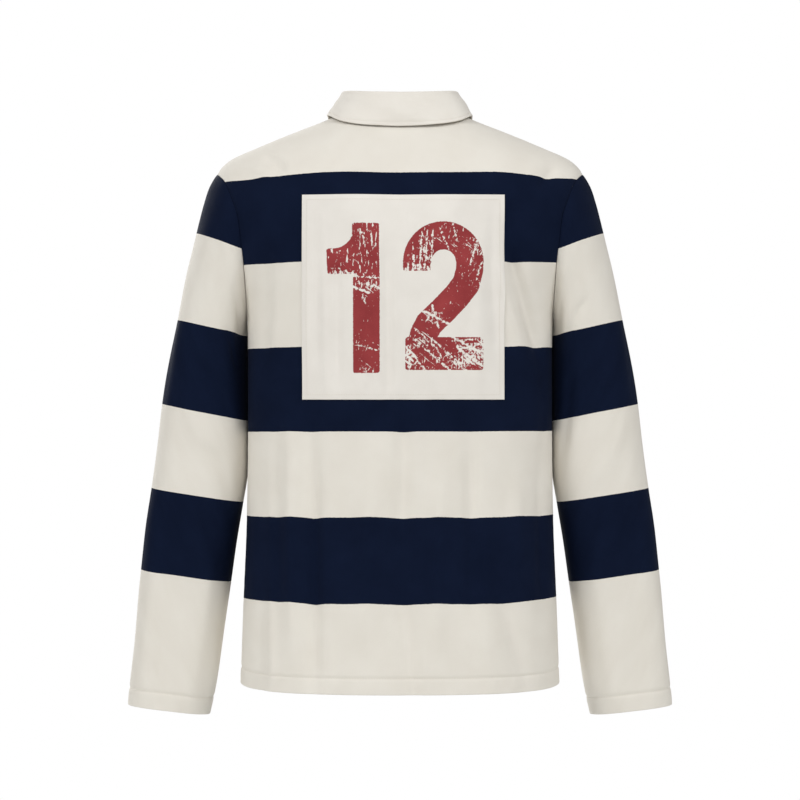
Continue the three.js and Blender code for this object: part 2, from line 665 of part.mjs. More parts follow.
shirt.add(cloth("back_panel", panelWall(backSheet), NAVY));

const slit = boxSolid(
  new THREE.Vector3(-SLIT_WIDTH / 2, -200, SLIT_BOTTOM_Z),
  new THREE.Vector3(SLIT_WIDTH / 2, -20, 40),
);
const front = asSolid(panelWall(frontSheet)).subtract(slit);
shirt.add(cloth("front_panel", asGeometry(front), NAVY));

shirt.add(cloth("sleeve_left", sleeveWall(leftSheet), NAVY));
shirt.add(cloth("sleeve_right", sleeveWall(rightSheet), NAVY));
shirt.add(cloth("collar", collarWall(), CREAM));

const patchBox = boxSolid(
  new THREE.Vector3(PATCH.right, 60, PATCH.bottom),
  new THREE.Vector3(PATCH.left, 160, PATCH.top),
);
shirt.add(cloth("number_patch", onPanel(backSheet, SEAM, SEAM + TRIM, patchBox), CREAM));

const overBox = boxSolid(
  new THREE.Vector3(-PLACKET_WIDTH / 2, -200, PLACKET_BOTTOM_Z),
  new THREE.Vector3(PLACKET_WIDTH / 2, -20, 40),
);
const over = onPanel(frontSheet, SEAM, SEAM + TRIM, overBox);
shirt.add(cloth("placket_over", over, CREAM));

const underBox = boxSolid(
  new THREE.Vector3(-UNDER_WIDTH / 2, -200, SLIT_BOTTOM_Z - 6),
  new THREE.Vector3(UNDER_WIDTH / 2, -20, 40),
);
const underFace = -(JERSEY + SEAM);
shirt.add(
  cloth("placket_under", onPanel(frontSheet, underFace - TRIM, underFace, underBox), CREAM),
);

BUTTON_LEVELS.forEach((level, index) => {
  shirt.add(cloth(`button_${index + 1}`, seatedButton(level, over), CREAM));
});

export default shirt;
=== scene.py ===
# The visible model of a long-sleeved rugby shirt, filled out as if worn, with nobody in it.
# It stands in the part's frame: +Z up, the back towards +Y, the wearer's left towards +X.
# Lengths are in millimetres up to the point where a mesh is made, and then in metres.
import math

import bmesh
import bpy
import numpy as np
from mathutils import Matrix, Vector


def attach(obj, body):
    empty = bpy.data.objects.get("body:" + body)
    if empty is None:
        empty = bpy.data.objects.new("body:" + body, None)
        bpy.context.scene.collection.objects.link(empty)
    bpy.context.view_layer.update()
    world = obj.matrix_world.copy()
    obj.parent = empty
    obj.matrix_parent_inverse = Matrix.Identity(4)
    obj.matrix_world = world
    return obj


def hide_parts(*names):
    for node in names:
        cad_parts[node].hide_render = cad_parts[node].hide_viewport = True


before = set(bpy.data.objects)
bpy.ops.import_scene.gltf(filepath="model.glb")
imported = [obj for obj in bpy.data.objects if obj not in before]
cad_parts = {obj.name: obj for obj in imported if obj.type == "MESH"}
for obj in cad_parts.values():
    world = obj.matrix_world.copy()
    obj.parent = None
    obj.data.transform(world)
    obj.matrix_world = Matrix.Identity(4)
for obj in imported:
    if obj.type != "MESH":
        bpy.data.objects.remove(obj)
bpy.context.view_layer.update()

MM = 0.001

# Cloth and seams
JERSEY = 1.6
TWILL = 2.0
TRIM = 1.1
SEAM = 0.3
HEM_TURN = 20
CUFF_TURN = 22
TURN_PLY = 1.2
EDGE_ROUND = 0.8  # the last stretch of a piece over which its edge rounds off

# Body
HEM_Z = -711
HEM_RISE = 8
UNDERARM_Z = -250
TIP_X = 229
TIP_Z = -70.5
RIDGE_Y = -3
SECTION_POWER = 2.3
LEVEL_ROWS_Z = -215

# Neck
NECK_HALF = 74
NECK_BACK = 50
NECK_FRONT = 69
NECK_SHARE = 0.6  # the share of a panel's columns that end at the neckline

# Placket, buttons and patch
PLACKET_HALF = 16
PLACKET_BOTTOM_Z = -256
SLIT_HALF = 12
SLIT_BOTTOM_Z = -248
UNDER_HALF = 15
BUTTON_RADIUS = 6.5
BUTTON_THICK = 3.2
BUTTON_LEVELS = (-99, -158, -217)
PATCH_LEFT = 119
PATCH_RIGHT = -127
PATCH_TOP = -103
PATCH_BOTTOM = -352


def table(names, *rows):
    """Rows of numbers under named columns."""
    keys = names.split()
    return [dict(zip(keys, row)) for row in rows]


BODY_SECTIONS = table(
    "z half side back front",
    (-712, 199, 6, 118, -119),
    (-600, 195, 7, 114, -117),
    (-500, 191, 8, 111, -116),
    (-400, 189.5, 10, 112, -118),
    (-300, 189.5, 12, 118, -122),
    (-250, 190, 12, 121, -124),
    (-230, 193.4, 11.7, 121.6, -124),
    (-205, 202, 11, 121.8, -122.6),
    (-180, 215, 10, 121.6, -120.4),
    (-150, 230, 8.6, 121, -117),
    (-110, 247, 7.2, 119.2, -112.6),
    (-71, 257, 6, 117, -108),
    (20, 264, 4, 112, -104),
)
SHOULDER = table(
    "x z fall_back fall_front power",
    (0, 8, 190, 193, 1.35),
    (40, 7.2, 160, 182, 1.4),
    (74, 3.5, 125, 165, 1.5),
    (100, -6.5, 108, 150, 1.6),
    (140, -22, 93, 125, 1.8),
    (180, -38.6, 84, 102, 1.9),
    (210, -52, 77, 86, 2),
    (221, -60.6, 74, 81, 2),
    (229, -70.5, 72, 78, 2),
)
ARMHOLE = table(
    "z back front",
    (-250, 190, 190),
    (-235, 190.2, 188.5),
    (-215, 191, 186.5),
    (-184, 192.5, 186),
    (-163, 195, 187.5),
    (-130, 199, 193),
    (-105, 207, 203),
    (-82, 217.5, 215.5),
    (-70.5, 229, 229),
)
SLEEVE_RINGS = table(
    "index out_x out_z in_x in_z back front keep",
    (0, 229, -70.5, 190, -250, 74, -72, 1),
    (1, 237.6, -87, 190.8, -250.8, 75, -74, 0.84),
    (2, 244.8, -109, 191.1, -253.8, 74, -76, 0.66),
    (3, 251.7, -134, 191, -258, 71, -77, 0.48),
    (4, 259.5, -165, 190.6, -263.4, 67, -77, 0.32),
    (5, 268.6, -202, 190, -270.4, 62, -77, 0.17),
    (6, 279, -253, 189.6, -281, 56, -77, 0.06),
    (7, 288.3, -300, 189.2, -322, 50, -77, 0),
    (8, 297, -353, 189.1, -373, 44, -76, 0),
    (9, 304.8, -409, 190, -428, 38, -76, 0),
    (10, 312, -466, 198, -484, 32, -76, 0),
    (11, 320.5, -522, 206.4, -538, 26, -75, 0),
    (12, 327.6, -586, 215.3, -601, 20, -75, 0),
    (13, 333.4, -647, 224, -660, 14, -75, 0),
    (14, 338.6, -697, 232, -709, 8, -75, 0),
    (15, 342, -735.5, 239.3, -747.5, 4, -75, 0),
)
RING_POWER = 2.15
RING_FLATTER = 0.6  # how much squarer a sleeve's section gets below the cap
COLLAR = table(
    "turn fold_x fold_y fold_z edge_x edge_z",
    (0, 0, 44.5, 27.5, 0, -15),
    (30, 35, 37.5, 28.6, 45, -14),
    (60, 59.5, 20, 31, 76, -10),
    (90, 67, -4, 32.5, 90, -2.9),
    (115, 62, -28, 21, 88.5, -28),
    (140, 45, -49, -7, 77, -63),
    (160, 24, -60, -34, 61, -93.5),
    (178, 4, -64.5, -52, 44, -114),
)
COLLAR_END = 178
FOLD_RADIUS = 2.6
LEAF_CLEAR = 4.5
LEAF_BULGE = 3
STAND_LIFT = 1.5
STAND_INSET = 0.7

# Soft folds of the panels: a line from (x0, z0) to (x1, z1), how far its middle
# bows aside, its width to each side, and its depth, which is above zero for a ridge.
FOLD_COLUMNS = "x0 z0 x1 z1 bow width depth"
BACK_FOLDS = table(
    FOLD_COLUMNS,
    # long drapes of the lower back
    (160, -395, 158, -760, 3, 7, 2.4),
    (150, -330, 149, -735, -3, 7, -2.2),
    (133, -330, 130, -700, -3, 9, 4.2),
    (110, -340, 106, -760, 3, 9, -7.6),
    (34, -390, 44, -700, 0, 15, 4.6),
    (-4, -330, 0, -560, 2, 10, -5.8),
    (2, -540, -22, -790, 2, 11, -5.6),
    (-51, -400, -44, -700, -2, 13, 4.4),
    (-84, -370, -88, -640, 2, 10, -5.4),
    (-143, -430, -146, -600, 0, 11, 3.4),
    (-172, -400, -178, -640, 1, 8, -4),
    (-112, -560, -166, -740, 2, 11, -3.4),
    (-92, -580, -126, -800, 2, 14, 2),
    (72, -600, 84, -790, 0, 11, -2),
    (170, -560, 172, -790, 0, 9, -2.9),
    # drag from the right armpit down beside the patch
    (-124, -140, -181, -330, 3, 8.5, -9),
    (-177, -280, -181, -460, 0, 7, -3),
    (-108, -160, -160, -335, 2, 9, 4),
    (-118, -120, -164, -210, 2, 9, -1.8),
    # drag at the left armpit
    (164, -135, 170, -330, 3, 8, -2.2),
    (150, -170, 156, -330, 2, 9, 1.4),
    # pull across the shoulders
    (172, -50, 138, -76, 2, 6, -4),
    (186, -62, 158, -92, 2, 7, 1.6),
    (-196, -62, -170, -98, -2, 6, -3),
    (-186, -52, -150, -76, 0, 8, 1.4),
    # soft ripples that the patch shares with the panel under it
    (103, -105, 101, -330, 1, 6, -1.9),
    (114, -130, 112, -340, 0, 6, 1.2),
    (80, -150, 77, -370, 2, 7, -3),
    (91, -180, 89, -375, 0, 6, 1.5),
    (44, -290, 47, -380, 0, 7, -1.2),
    (17, -130, 14, -390, 1, 7, -3),
    (30, -110, 28, -390, 0, 8, 2),
    (-10, -104, -14, -190, 0, 8, -1.2),
    (-44, -300, -47, -380, 0, 9, -1.3),
    (-66, -104, -62, -160, 0, 9, 1.2),
    (-98, -130, -96, -380, -2, 8, 1.5),
    (-112, -100, -119, -330, -2, 7, -2.2),
)
FRONT_FOLDS = table(
    FOLD_COLUMNS,
    (150, -300, 154, -760, 3, 11, -4.9),
    (126, -330, 130, -740, -2, 13, 4.1),
    (96, -280, 104, -640, 4, 13, -3.5),
    (70, -330, 64, -790, 2, 15, 3.5),
    (30, -330, 36, -700, 2, 14, -4.3),
    (0, -420, -4, -790, 0, 15, 2.9),
    (-36, -300, -44, -640, -3, 14, -3.8),
    (-72, -380, -66, -790, 2, 14, 3.8),
    (-102, -290, -108, -700, 3, 12, -4.6),
    (-132, -350, -128, -760, -2, 12, 3.8),
    (-158, -300, -160, -740, 0, 9, -3.8),
    (172, -215, 108, -140, 6, 9, -4.3),
    (176, -232, 120, -178, 6, 9, 2.6),
    (-174, -215, -112, -146, -5, 9, -4.6),
    (-178, -235, -124, -186, -5, 9, 2.6),
    (30, -150, 26, -330, 0, 10, 1.9),
    (-30, -160, -25, -330, 0, 10, 1.7),
    (-150, -95, -96, -150, 3, 10, -2),
    (148, -92, 100, -150, 3, 10, -2),
)
# Soft folds of a sleeve, by the angle round it (0 outside, 90 behind, 180 inside) and the
# share of its length
SLEEVE_COLUMNS = "turn0 from turn1 to width depth"
SLEEVE_FOLDS = {
    "left": table(
        SLEEVE_COLUMNS,
        (150, 0.06, 146, 0.56, 27, -8),
        (112, 0.1, 106, 0.44, 15, -1.6),
        (60, 0.1, 66, 0.4, 15, -1.6),
        (104, 0.36, 140, 0.47, 9, -2.4),
        (74, 0.44, 122, 0.55, 10, -2.6),
        (62, 0.5, 112, 0.62, 11, 1.8),
        (92, 0.58, 132, 0.66, 9, -2),
        (40, 0.6, 60, 1, 15, 1.6),
        (84, 0.66, 78, 1.05, 14, -2.2),
        (118, 0.68, 112, 1.04, 12, 1.8),
        (10, 0.3, 30, 0.62, 13, -1.4),
        (235, 0.06, 228, 0.48, 15, -6),
        (262, 0.42, 218, 0.55, 11, -2.6),
        (300, 0.3, 286, 0.9, 19, -3),
        (330, 0.5, 318, 1, 14, 1.8),
        (255, 0.6, 250, 1.05, 14, -2.2),
    ),
    "right": table(
        SLEEVE_COLUMNS,
        (148, 0.08, 146, 0.5, 22, -5),
        (106, 0.08, 100, 0.4, 13, -1.6),
        (66, 0.04, 60, 0.34, 13, -1.6),
        (84, 0.3, 128, 0.42, 10, -2),
        (112, 0.44, 138, 0.62, 10, -4),
        (62, 0.48, 112, 0.58, 10, -2.4),
        (54, 0.54, 104, 0.66, 11, 1.8),
        (70, 0.64, 84, 1, 14, -2),
        (106, 0.66, 104, 1.05, 13, 1.8),
        (38, 0.7, 34, 1.05, 13, 1.4),
        (12, 0.28, 34, 0.6, 13, -1.4),
        (232, 0.06, 226, 0.5, 15, -6),
        (258, 0.44, 216, 0.56, 11, -2.4),
        (296, 0.34, 282, 0.92, 19, -3),
        (326, 0.5, 316, 1, 14, 1.8),
        (252, 0.62, 248, 1.05, 14, -2),
    ),
}

# The lines at which the hoops change colour, from the shoulders down. On the body each has its
# height and how far it droops at the wearer's left and right side. On a sleeve it is the line
# between an outer and an inner place.
BODY_HOOPS = table(
    "z left right",
    (-75.2, 8.5, 5),
    (-184.4, 2.8, -0.3),
    (-287.8, 2, 0),
    (-391.2, 1.2, 0),
    (-496, 0.6, -1.2),
    (-601.3, -2.6, -4.6),
)
SLEEVE_HOOPS = table(
    "out_x out_z in_x in_z",
    (252, -146, 195, -167),
    (279, -253, 189, -273),
    (297, -358, 194, -378.2),
    (311.5, -462.7, 199, -480),
    (323.7, -565.4, 213, -580.2),
)


def smooth(share):
    s = np.clip(share, 0, 1)
    return s * s * (3 - 2 * s)


def reader(rows, key):
    """A function that reads every column of a table at any place along its key column."""
    places = np.array([row[key] for row in rows], float)
    curves = {}
    for name in rows[0]:
        if name == key:
            continue
        values = np.array([row[name] for row in rows], float)
        steps = np.diff(values) / np.diff(places)
        tangents = np.zeros(len(values))
        tangents[0], tangents[-1] = steps[0], steps[-1]
        before, after = steps[:-1], steps[1:]
        even = before * after > 0
        total = np.where(even, before + after, 1)
        tangents[1:-1] = np.where(even, 2 * before * after / total, 0)
        curves[name] = (values, tangents)

    def read(at):
        place = np.clip(np.asarray(at, float), places[0], places[-1])
        i = np.clip(np.searchsorted(places, place) - 1, 0, len(places) - 2)
        step = places[i + 1] - places[i]
        t = (place - places[i]) / step
        found = {}
        for name, (v, m) in curves.items():
            found[name] = (
                v[i] * (1 + 2 * t) * (1 - t) ** 2
                + m[i] * step * t * (1 - t) ** 2
                + v[i + 1] * t * t * (3 - 2 * t)
                + m[i + 1] * step * t * t * (t - 1)
            )
        return found

    return read


body_at = reader(BODY_SECTIONS, "z")
shoulder_at = reader(SHOULDER, "x")
armhole_at = reader(ARMHOLE, "z")
ring_at = reader(SLEEVE_RINGS, "index")
collar_at = reader(COLLAR, "turn")


def stack(x, y, z):
    return np.stack(np.broadcast_arrays(x, y, z), axis=-1).astype(float)


def unit(v):
    return v / np.maximum(np.linalg.norm(v, axis=-1, keepdims=True), 1e-9)


def cloth_y(side, x, z):
    """The cloth's y on the back (side 1) or the front (side -1), before any fold."""
    body = body_at(z)
    shoulder = shoulder_at(np.abs(x))
    share = np.clip(np.abs(x) / body["half"], 0, 1)
    round_ = (1 - share**SECTION_POWER) ** (1 / SECTION_POWER)
    reach = body["back"] if side > 0 else body["front"]
    hanging = body["side"] + (reach - body["side"]) * round_
    fall = shoulder["fall_back"] if side > 0 else shoulder["fall_front"]
    power = 2 if side > 0 else shoulder["power"]
    drop = np.clip((shoulder["z"] - z) / fall, 0, 1)
    over = (1 - (1 - drop) ** power) ** (1 / power)
    return RIDGE_Y + (hanging - RIDGE_Y) * over


def neck_seam(side, turn):
    """The neck seam by the angle round the neck from centre back."""
    angle = np.radians(turn)
    x = NECK_HALF * np.sin(angle)
    y = RIDGE_Y + (NECK_BACK if side > 0 else NECK_FRONT) * np.cos(angle)
    shoulder = shoulder_at(np.abs(x))
    fall = shoulder["fall_back"] if side > 0 else shoulder["fall_front"]
    power = 2 if side > 0 else shoulder["power"]
    body = body_at(shoulder["z"])
    round_ = (1 - (np.abs(x) / body["half"]) ** SECTION_POWER) ** (1 / SECTION_POWER)
    reach = body["back"] if side > 0 else body["front"]
    hanging = body["side"] + (reach - body["side"]) * round_
    over = np.clip((y - RIDGE_Y) / (hanging - RIDGE_Y), 0, 1)
    drop = 1 - (1 - over**power) ** (1 / power)
    return stack(x, y, shoulder["z"] - fall * drop)


def armhole_z(share):
    middle, half = (TIP_Z + UNDERARM_Z) / 2, (TIP_Z - UNDERARM_Z) / 2
    return middle - half * np.cos(share * np.pi)


def panel_place(side, across, up):
    """(x, z) of a panel's point. across runs from -1 to 1 between the side seams. up runs from
    0 at the hem to 1 at the underarm and on to 2 at the shoulder tip."""
    share = np.abs(across)
    hem = HEM_Z + HEM_RISE * share**3
    low_z = hem + (UNDERARM_Z - hem) * np.minimum(up, 1)
    low_x = body_at(low_z)["half"] * np.sin(share * np.pi / 2) ** (2 / SECTION_POWER)
    edge_z = armhole_z(np.maximum(up - 1, 0))
    edge_x = armhole_at(edge_z)["back" if side > 0 else "front"]
    half = body_at(edge_z)["half"]
    edge_angle = np.arcsin(np.clip((edge_x / half) ** (SECTION_POWER / 2), 0, 1))
    level = half * np.sin(share * edge_angle) ** (2 / SECTION_POWER) / edge_x
    quarter = np.clip(share / NECK_SHARE, 0, 1) * 90
    seam = neck_seam(side, quarter if side > 0 else 180 - quarter)
    beyond = np.clip((share - NECK_SHARE) / (1 - NECK_SHARE), 0, 1)
    along = NECK_HALF + beyond * (TIP_X - NECK_HALF)
    at_neck = share <= NECK_SHARE
    top_x = np.where(at_neck, seam[..., 0], along)
    top_z = np.where(at_neck, seam[..., 2], shoulder_at(along)["z"])
    bend = smooth((edge_z - LEVEL_ROWS_Z) / (TIP_Z - LEVEL_ROWS_Z))
    high_x = edge_x * (level * (1 - bend) + top_x / TIP_X * bend)
    high_z = edge_z + (top_z - TIP_Z) * bend
    low = up <= 1
    return np.where(low, low_x, high_x) * np.sign(across), np.where(low, low_z, high_z)


def fold_sum(folds, x, z):
    total = np.zeros(np.broadcast(x, z).shape)
    for f in folds:
        dx, dz = f["x1"] - f["x0"], f["z1"] - f["z0"]
        length = math.hypot(dx, dz)
        t = ((x - f["x0"]) * dx + (z - f["z0"]) * dz) / length**2
        away = ((x - f["x0"]) * dz - (z - f["z0"]) * dx) / length - f["bow"] * 4 * t * (1 - t)
        lasts = smooth(t * 3) * smooth((1 - t) * 3)
        total += f["depth"] * lasts * np.exp(-((away / f["width"]) ** 2))
    return total


def panel_relief(side, x, z):
    """How far folds and the cloth's own unevenness move a panel's point outward."""
    high = np.maximum(z, UNDERARM_Z)
    edge = np.where(
        z < UNDERARM_Z, body_at(z)["half"], armhole_at(high)["back" if side > 0 else "front"]
    )
    crest = shoulder_at(np.abs(x))["z"]
    calm = smooth((edge - np.abs(x)) / 24) * smooth((crest - z - 3) / 25)
    uneven = (
        0.45 * np.sin(x / 27 + z / 61 + side)
        + 0.35 * np.sin(x / 15 - z / 48 + 2.1)
        + 0.25 * np.sin(x / 52 + z / 19)
    )
    folds = BACK_FOLDS if side > 0 else FRONT_FOLDS
    return (fold_sum(folds, x, z) + uneven) * calm


def in_armpit(z):
    """1 at heights where the sleeve folds back beside the body at its seam, and 0 elsewhere. A
    seam sunk into the cloth would gape there."""
    return smooth((-115 - z) / 50) * smooth((z - UNDERARM_Z + 12) / 12)


def panel_surface(side, x, z, off=0.0):
    """Points on a panel's outer face, moved off it by a distance, and the way it faces there."""
    e = 0.25
    slope_x = (cloth_y(side, x + e, z) - cloth_y(side, x - e, z)) / (2 * e)
    slope_z = (cloth_y(side, x, z + e) - cloth_y(side, x, z - e)) / (2 * e)
    facing = unit(side * stack(-slope_x, 1, -slope_z))
    base = stack(x, cloth_y(side, x, z) + side * SEAM / 2, z)
    return base + facing * (panel_relief(side, x, z) + off)[..., None], facing


def sleeve_point(turn, index):
    """A left sleeve's point. turn is 0 outside, 90 behind, 180 inside and 270 in front."""
    c, s = np.cos(np.radians(turn)), np.sin(np.radians(turn))
    power = RING_POWER + RING_FLATTER * smooth(index / 5)
    across = np.sign(c) * np.abs(c) ** (2 / power)
    deep = np.sign(s) * np.abs(s) ** (2 / power)

    def on_ring(r):
        return stack(
            (r["out_x"] + r["in_x"]) / 2 + (r["out_x"] - r["in_x"]) / 2 * across,
            (r["back"] + r["front"]) / 2 + (r["back"] - r["front"]) / 2 * deep,
            (r["out_z"] + r["in_z"]) / 2 + (r["out_z"] - r["in_z"]) / 2 * across,
        )

    ring = ring_at(index)
    z = (TIP_Z + UNDERARM_Z) / 2 + (TIP_Z - UNDERARM_Z) / 2 * c
    hole = armhole_at(z)
    behind = (turn % 360) <= 180
    x = np.where(behind, hole["back"], hole["front"])
    y = np.where(behind, cloth_y(1, x, z), cloth_y(-1, x, z))
    armhole = stack(x, y, z)
    return on_ring(ring) + (armhole - on_ring(ring_at(0.0))) * ring["keep"][..., None]


def grid_facing(grid, wrap):
    """Unit normals of a grid of points."""
    if wrap:
        across = np.roll(grid, -1, 1) - np.roll(grid, 1, 1)
    else:
        across = np.gradient(grid, axis=1)
    return unit(np.cross(across, np.gradient(grid, axis=0)))


def lengths(grid, axis):
    """Distance run along a grid's rows or columns from the first point."""
    steps = np.linalg.norm(np.diff(grid, axis=axis), axis=-1)
    pad = [(0, 0), (0, 0)]
    pad[axis] = (1, 0)
    return np.cumsum(np.pad(steps, pad), axis=axis)


def lines(count, low, high, *near):
    """Evenly spread values from low to high, with more at the places in near."""
    even = np.linspace(low, high, count)
    step = (high - low) / (count - 1)
    extra = np.array(near, float)
    clear = np.array([np.min(np.abs(extra - v)) > 0.3 * step for v in even]) if len(near) else True
    ends = (even == low) | (even == high)
    return np.unique(np.concatenate([even[clear | ends], extra]))


def rounding(distance, thick):
    """How far a face drops towards the cloth's middle near an edge."""
    share = np.clip(1 - distance / EDGE_ROUND, 0, 1)
    return thick * 0.36 * (1 - np.sqrt(1 - share**2))


def colour(code):
    """A linear colour from an sRGB hex code."""
    parts = [int(code[i : i + 2], 16) / 255 for i in (1, 3, 5)]
    linear = [c / 12.92 if c <= 0.04045 else ((c + 0.055) / 1.055) ** 2.4 for c in parts]
    return (*linear, 1.0)


def node(tree, kind, inputs=None, **settings):
    """Adds a shader node with its settings, and its inputs as values or links."""
    made = tree.nodes.new(kind)
    for name, value in settings.items():
        setattr(made, name, value)
    for key, value in (inputs or {}).items():
        if isinstance(value, bpy.types.NodeSocket):
            tree.links.new(value, made.inputs[key])
        else:
            made.inputs[key].default_value = value
    return made


def maths(tree, operation, *values, clamp=False):
    made = node(tree, "ShaderNodeMath", operation=operation, use_clamp=clamp)
    for socket, value in zip(made.inputs, values):
        if isinstance(value, bpy.types.NodeSocket):
            tree.links.new(value, socket)
        else:
            socket.default_value = value
    return made.outputs[0]


def vector(tree, operation, *values):
    made = node(tree, "ShaderNodeVectorMath", operation=operation)
    for socket, value in zip(made.inputs, values):
        if isinstance(value, bpy.types.NodeSocket):
            tree.links.new(value, socket)
        elif operation == "SCALE" and socket == made.inputs[1]:
            made.inputs["Scale"].default_value = value
        else:
            socket.default_value = value
    return made.outputs["Value" if operation in ("LENGTH", "DOT_PRODUCT") else "Vector"]


def mix(tree, share, one, other):
    made = node(tree, "ShaderNodeMix", data_type="RGBA")
    for key, value in ((0, share), (6, one), (7, other)):
        if isinstance(value, bpy.types.NodeSocket):
            tree.links.new(value, made.inputs[key])
        else:
            made.inputs[key].default_value = value
    return made.outputs[2]


def noise(tree, where, scale, detail=3.0):
    """Noise of about one lump per 1/scale millimetres, from 0 to 1."""
    made = node(
        tree, "ShaderNodeTexNoise", {"Vector": where, "Scale": scale, "Detail": detail}
    )
    return made.outputs["Fac"]


def cloth_material(name, roughness, sheen):
    """A new material, its tree, its shader and the cloth's own coordinates in millimetres."""
    made = bpy.data.materials.new(name)
    made.use_nodes = True
    tree = made.node_tree
    shader = tree.nodes["Principled BSDF"]
    shader.inputs["Roughness"].default_value = roughness
    shader.inputs["Sheen Weight"].default_value = sheen
    shader.inputs["Sheen Roughness"].default_value = 0.45
    shader.inputs["Specular IOR Level"].default_value = 0.06
    flat = node(tree, "ShaderNodeUVMap", uv_map="cloth").outputs["UV"]
    return made, tree, shader, vector(tree, "SCALE", flat, 1000.0)


def bump(tree, shader, height, strength, depth_mm):
    made = node(
        tree,
        "ShaderNodeBump",
        {"Height": height, "Strength": strength, "Distance": depth_mm * MM},
    )
    tree.links.new(made.outputs["Normal"], shader.inputs["Normal"])


def knit_height(tree, place):
    """The relief of plain knit: upright wales 1.3 mm apart, crossed by rows 0.9 mm apart."""
    parts = node(tree, "ShaderNodeSeparateXYZ", {"Vector": place})
    wale = maths(tree, "SINE", maths(tree, "MULTIPLY", parts.outputs["X"], 2 * math.pi / 1.3))
    row = maths(tree, "SINE", maths(tree, "MULTIPLY", parts.outputs["Y"], 2 * math.pi / 0.9))
    loops = maths(tree, "MULTIPLY_ADD", row, 0.35, wale)
    fuzz = noise(tree, place, 1.6, 2.0)
    return maths(tree, "MULTIPLY_ADD", fuzz, 1.6, loops)


def make_jersey():
    # Heavy cotton jersey, matt and a little fuzzy, knitted in wide hoops of cream and navy
    made, tree, shader, place = cloth_material("cotton_jersey_hooped", 0.9, 0.12)
    hoops = node(tree, "ShaderNodeUVMap", uv_map="hoops").outputs["UV"]
    height = node(tree, "ShaderNodeSeparateXYZ", {"Vector": hoops}).outputs["X"]
    sway = maths(tree, "MULTIPLY_ADD", noise(tree, place, 0.35, 2.0), 0.008, height)
    share = maths(tree, "FRACT", maths(tree, "MULTIPLY", sway, 0.5))
    is_navy = maths(tree, "LESS_THAN", share, 0.5)
    broad = noise(tree, place, 0.022, 3.0)
    fine = noise(tree, place, 0.7, 2.0)
    lumps = maths(tree, "MULTIPLY_ADD", fine, 0.35, maths(tree, "MULTIPLY", broad, 0.8))
    cream = mix(tree, lumps, colour("#d9d3c8"), colour("#e6e2d9"))
    navy = mix(tree, lumps, colour("#060e21"), colour("#101a31"))
    tree.links.new(mix(tree, is_navy, cream, navy), shader.inputs["Base Color"])
    sheen = maths(tree, "MULTIPLY_ADD", is_navy, -0.11, 0.12)
    tree.links.new(sheen, shader.inputs["Sheen Weight"])
    bump(tree, shader, knit_height(tree, place), 0.35, 0.12)
    return made


def twill_height(tree, place):
    """The relief of twill: fine slanting ribs 0.8 mm apart."""
    parts = node(tree, "ShaderNodeSeparateXYZ", {"Vector": place})
    slant = maths(tree, "ADD", parts.outputs["X"], parts.outputs["Y"])
    rib = maths(tree, "SINE", maths(tree, "MULTIPLY", slant, 2 * math.pi / 1.1))
    return maths(tree, "MULTIPLY_ADD", noise(tree, place, 1.2, 2.0), 1.8, rib)


def make_twill():
    # Firm cream cotton twill of the collar and the placket
    made, tree, shader, place = cloth_material("cotton_twill_cream", 0.86, 0.08)
    broad = noise(tree, place, 0.03, 3.0)
    fine = noise(tree, place, 0.9, 2.0)
    lumps = maths(tree, "MULTIPLY_ADD", fine, 0.4, maths(tree, "MULTIPLY", broad, 0.8))
    cream = mix(tree, lumps, colour("#d8d2c8"), colour("#e8e4dc"))
    tree.links.new(cream, shader.inputs["Base Color"])
    bump(tree, shader, twill_height(tree, place), 0.3, 0.1)
    return made


# The number in the patch's own millimetres, from its middle: x to the reader's right, y up
ONE_STEM = (-62.4, -29.6, -92.3, 89.8)
ONE_FLAG = (-94.0, -40.0, 27.9, 84.3)
ONE_HOLLOW = (-85.7, 84.3, 25.3)
TWO_BOWL = (48.8, 42.5, 32.0)
TWO_STROKE = 17.1
TWO_PATH = (
    (80.8, 42.5), (80.6, 33), (76, 15.8), (64.8, 1.2), (48.6, -15.8), (31, -32.8), (24.8, -44.9),
    (22, -60),
)
TWO_TERMINAL = 31.6  # height at which the upper left end is cut off
TWO_BASE = (2.4, 97.9, -88.6, -48.6)
CORNER = 5.0  # how far the number's corners are rounded
# Where the print has worn away most: centre, reach and how badly
WORN = table(
    "x y reach_x reach_y worn",
    (-46, 14, 22, 8, 0.62),
    (-46, 70, 20, 22, 0.3),
    (-76, 27, 20, 5, 0.75),
    (-62, 45, 26, 12, 0.35),
    (-46, -60, 18, 8, 0.25),
    (-50, -88, 18, 6, 0.4),
    (26, 58, 13, 22, 0.38),
    (17, 34, 20, 3.5, 0.6),
    (52, 72, 20, 16, 0.25),
    (88, 60, 12, 26, 0.5),
    (82, 24, 14, 16, 0.3),
    (36, -24, 14, 10, 0.5),
    (24, -54, 14, 8, 0.55),
    (90, -66, 20, 13, 0.6),
    (99, -60, 9, 20, 0.8),
    (70, -80, 26, 10, 0.7),
    (44, -74, 26, 12, 0.5),
    (8, -72, 10, 18, 0.8),
)
# Where its scratches are all short and upright: centre, reach
UPRIGHT = table(
    "x y reach_x reach_y",
    (-60, 56, 46, 42),
    (16, 50, 20, 40),
)
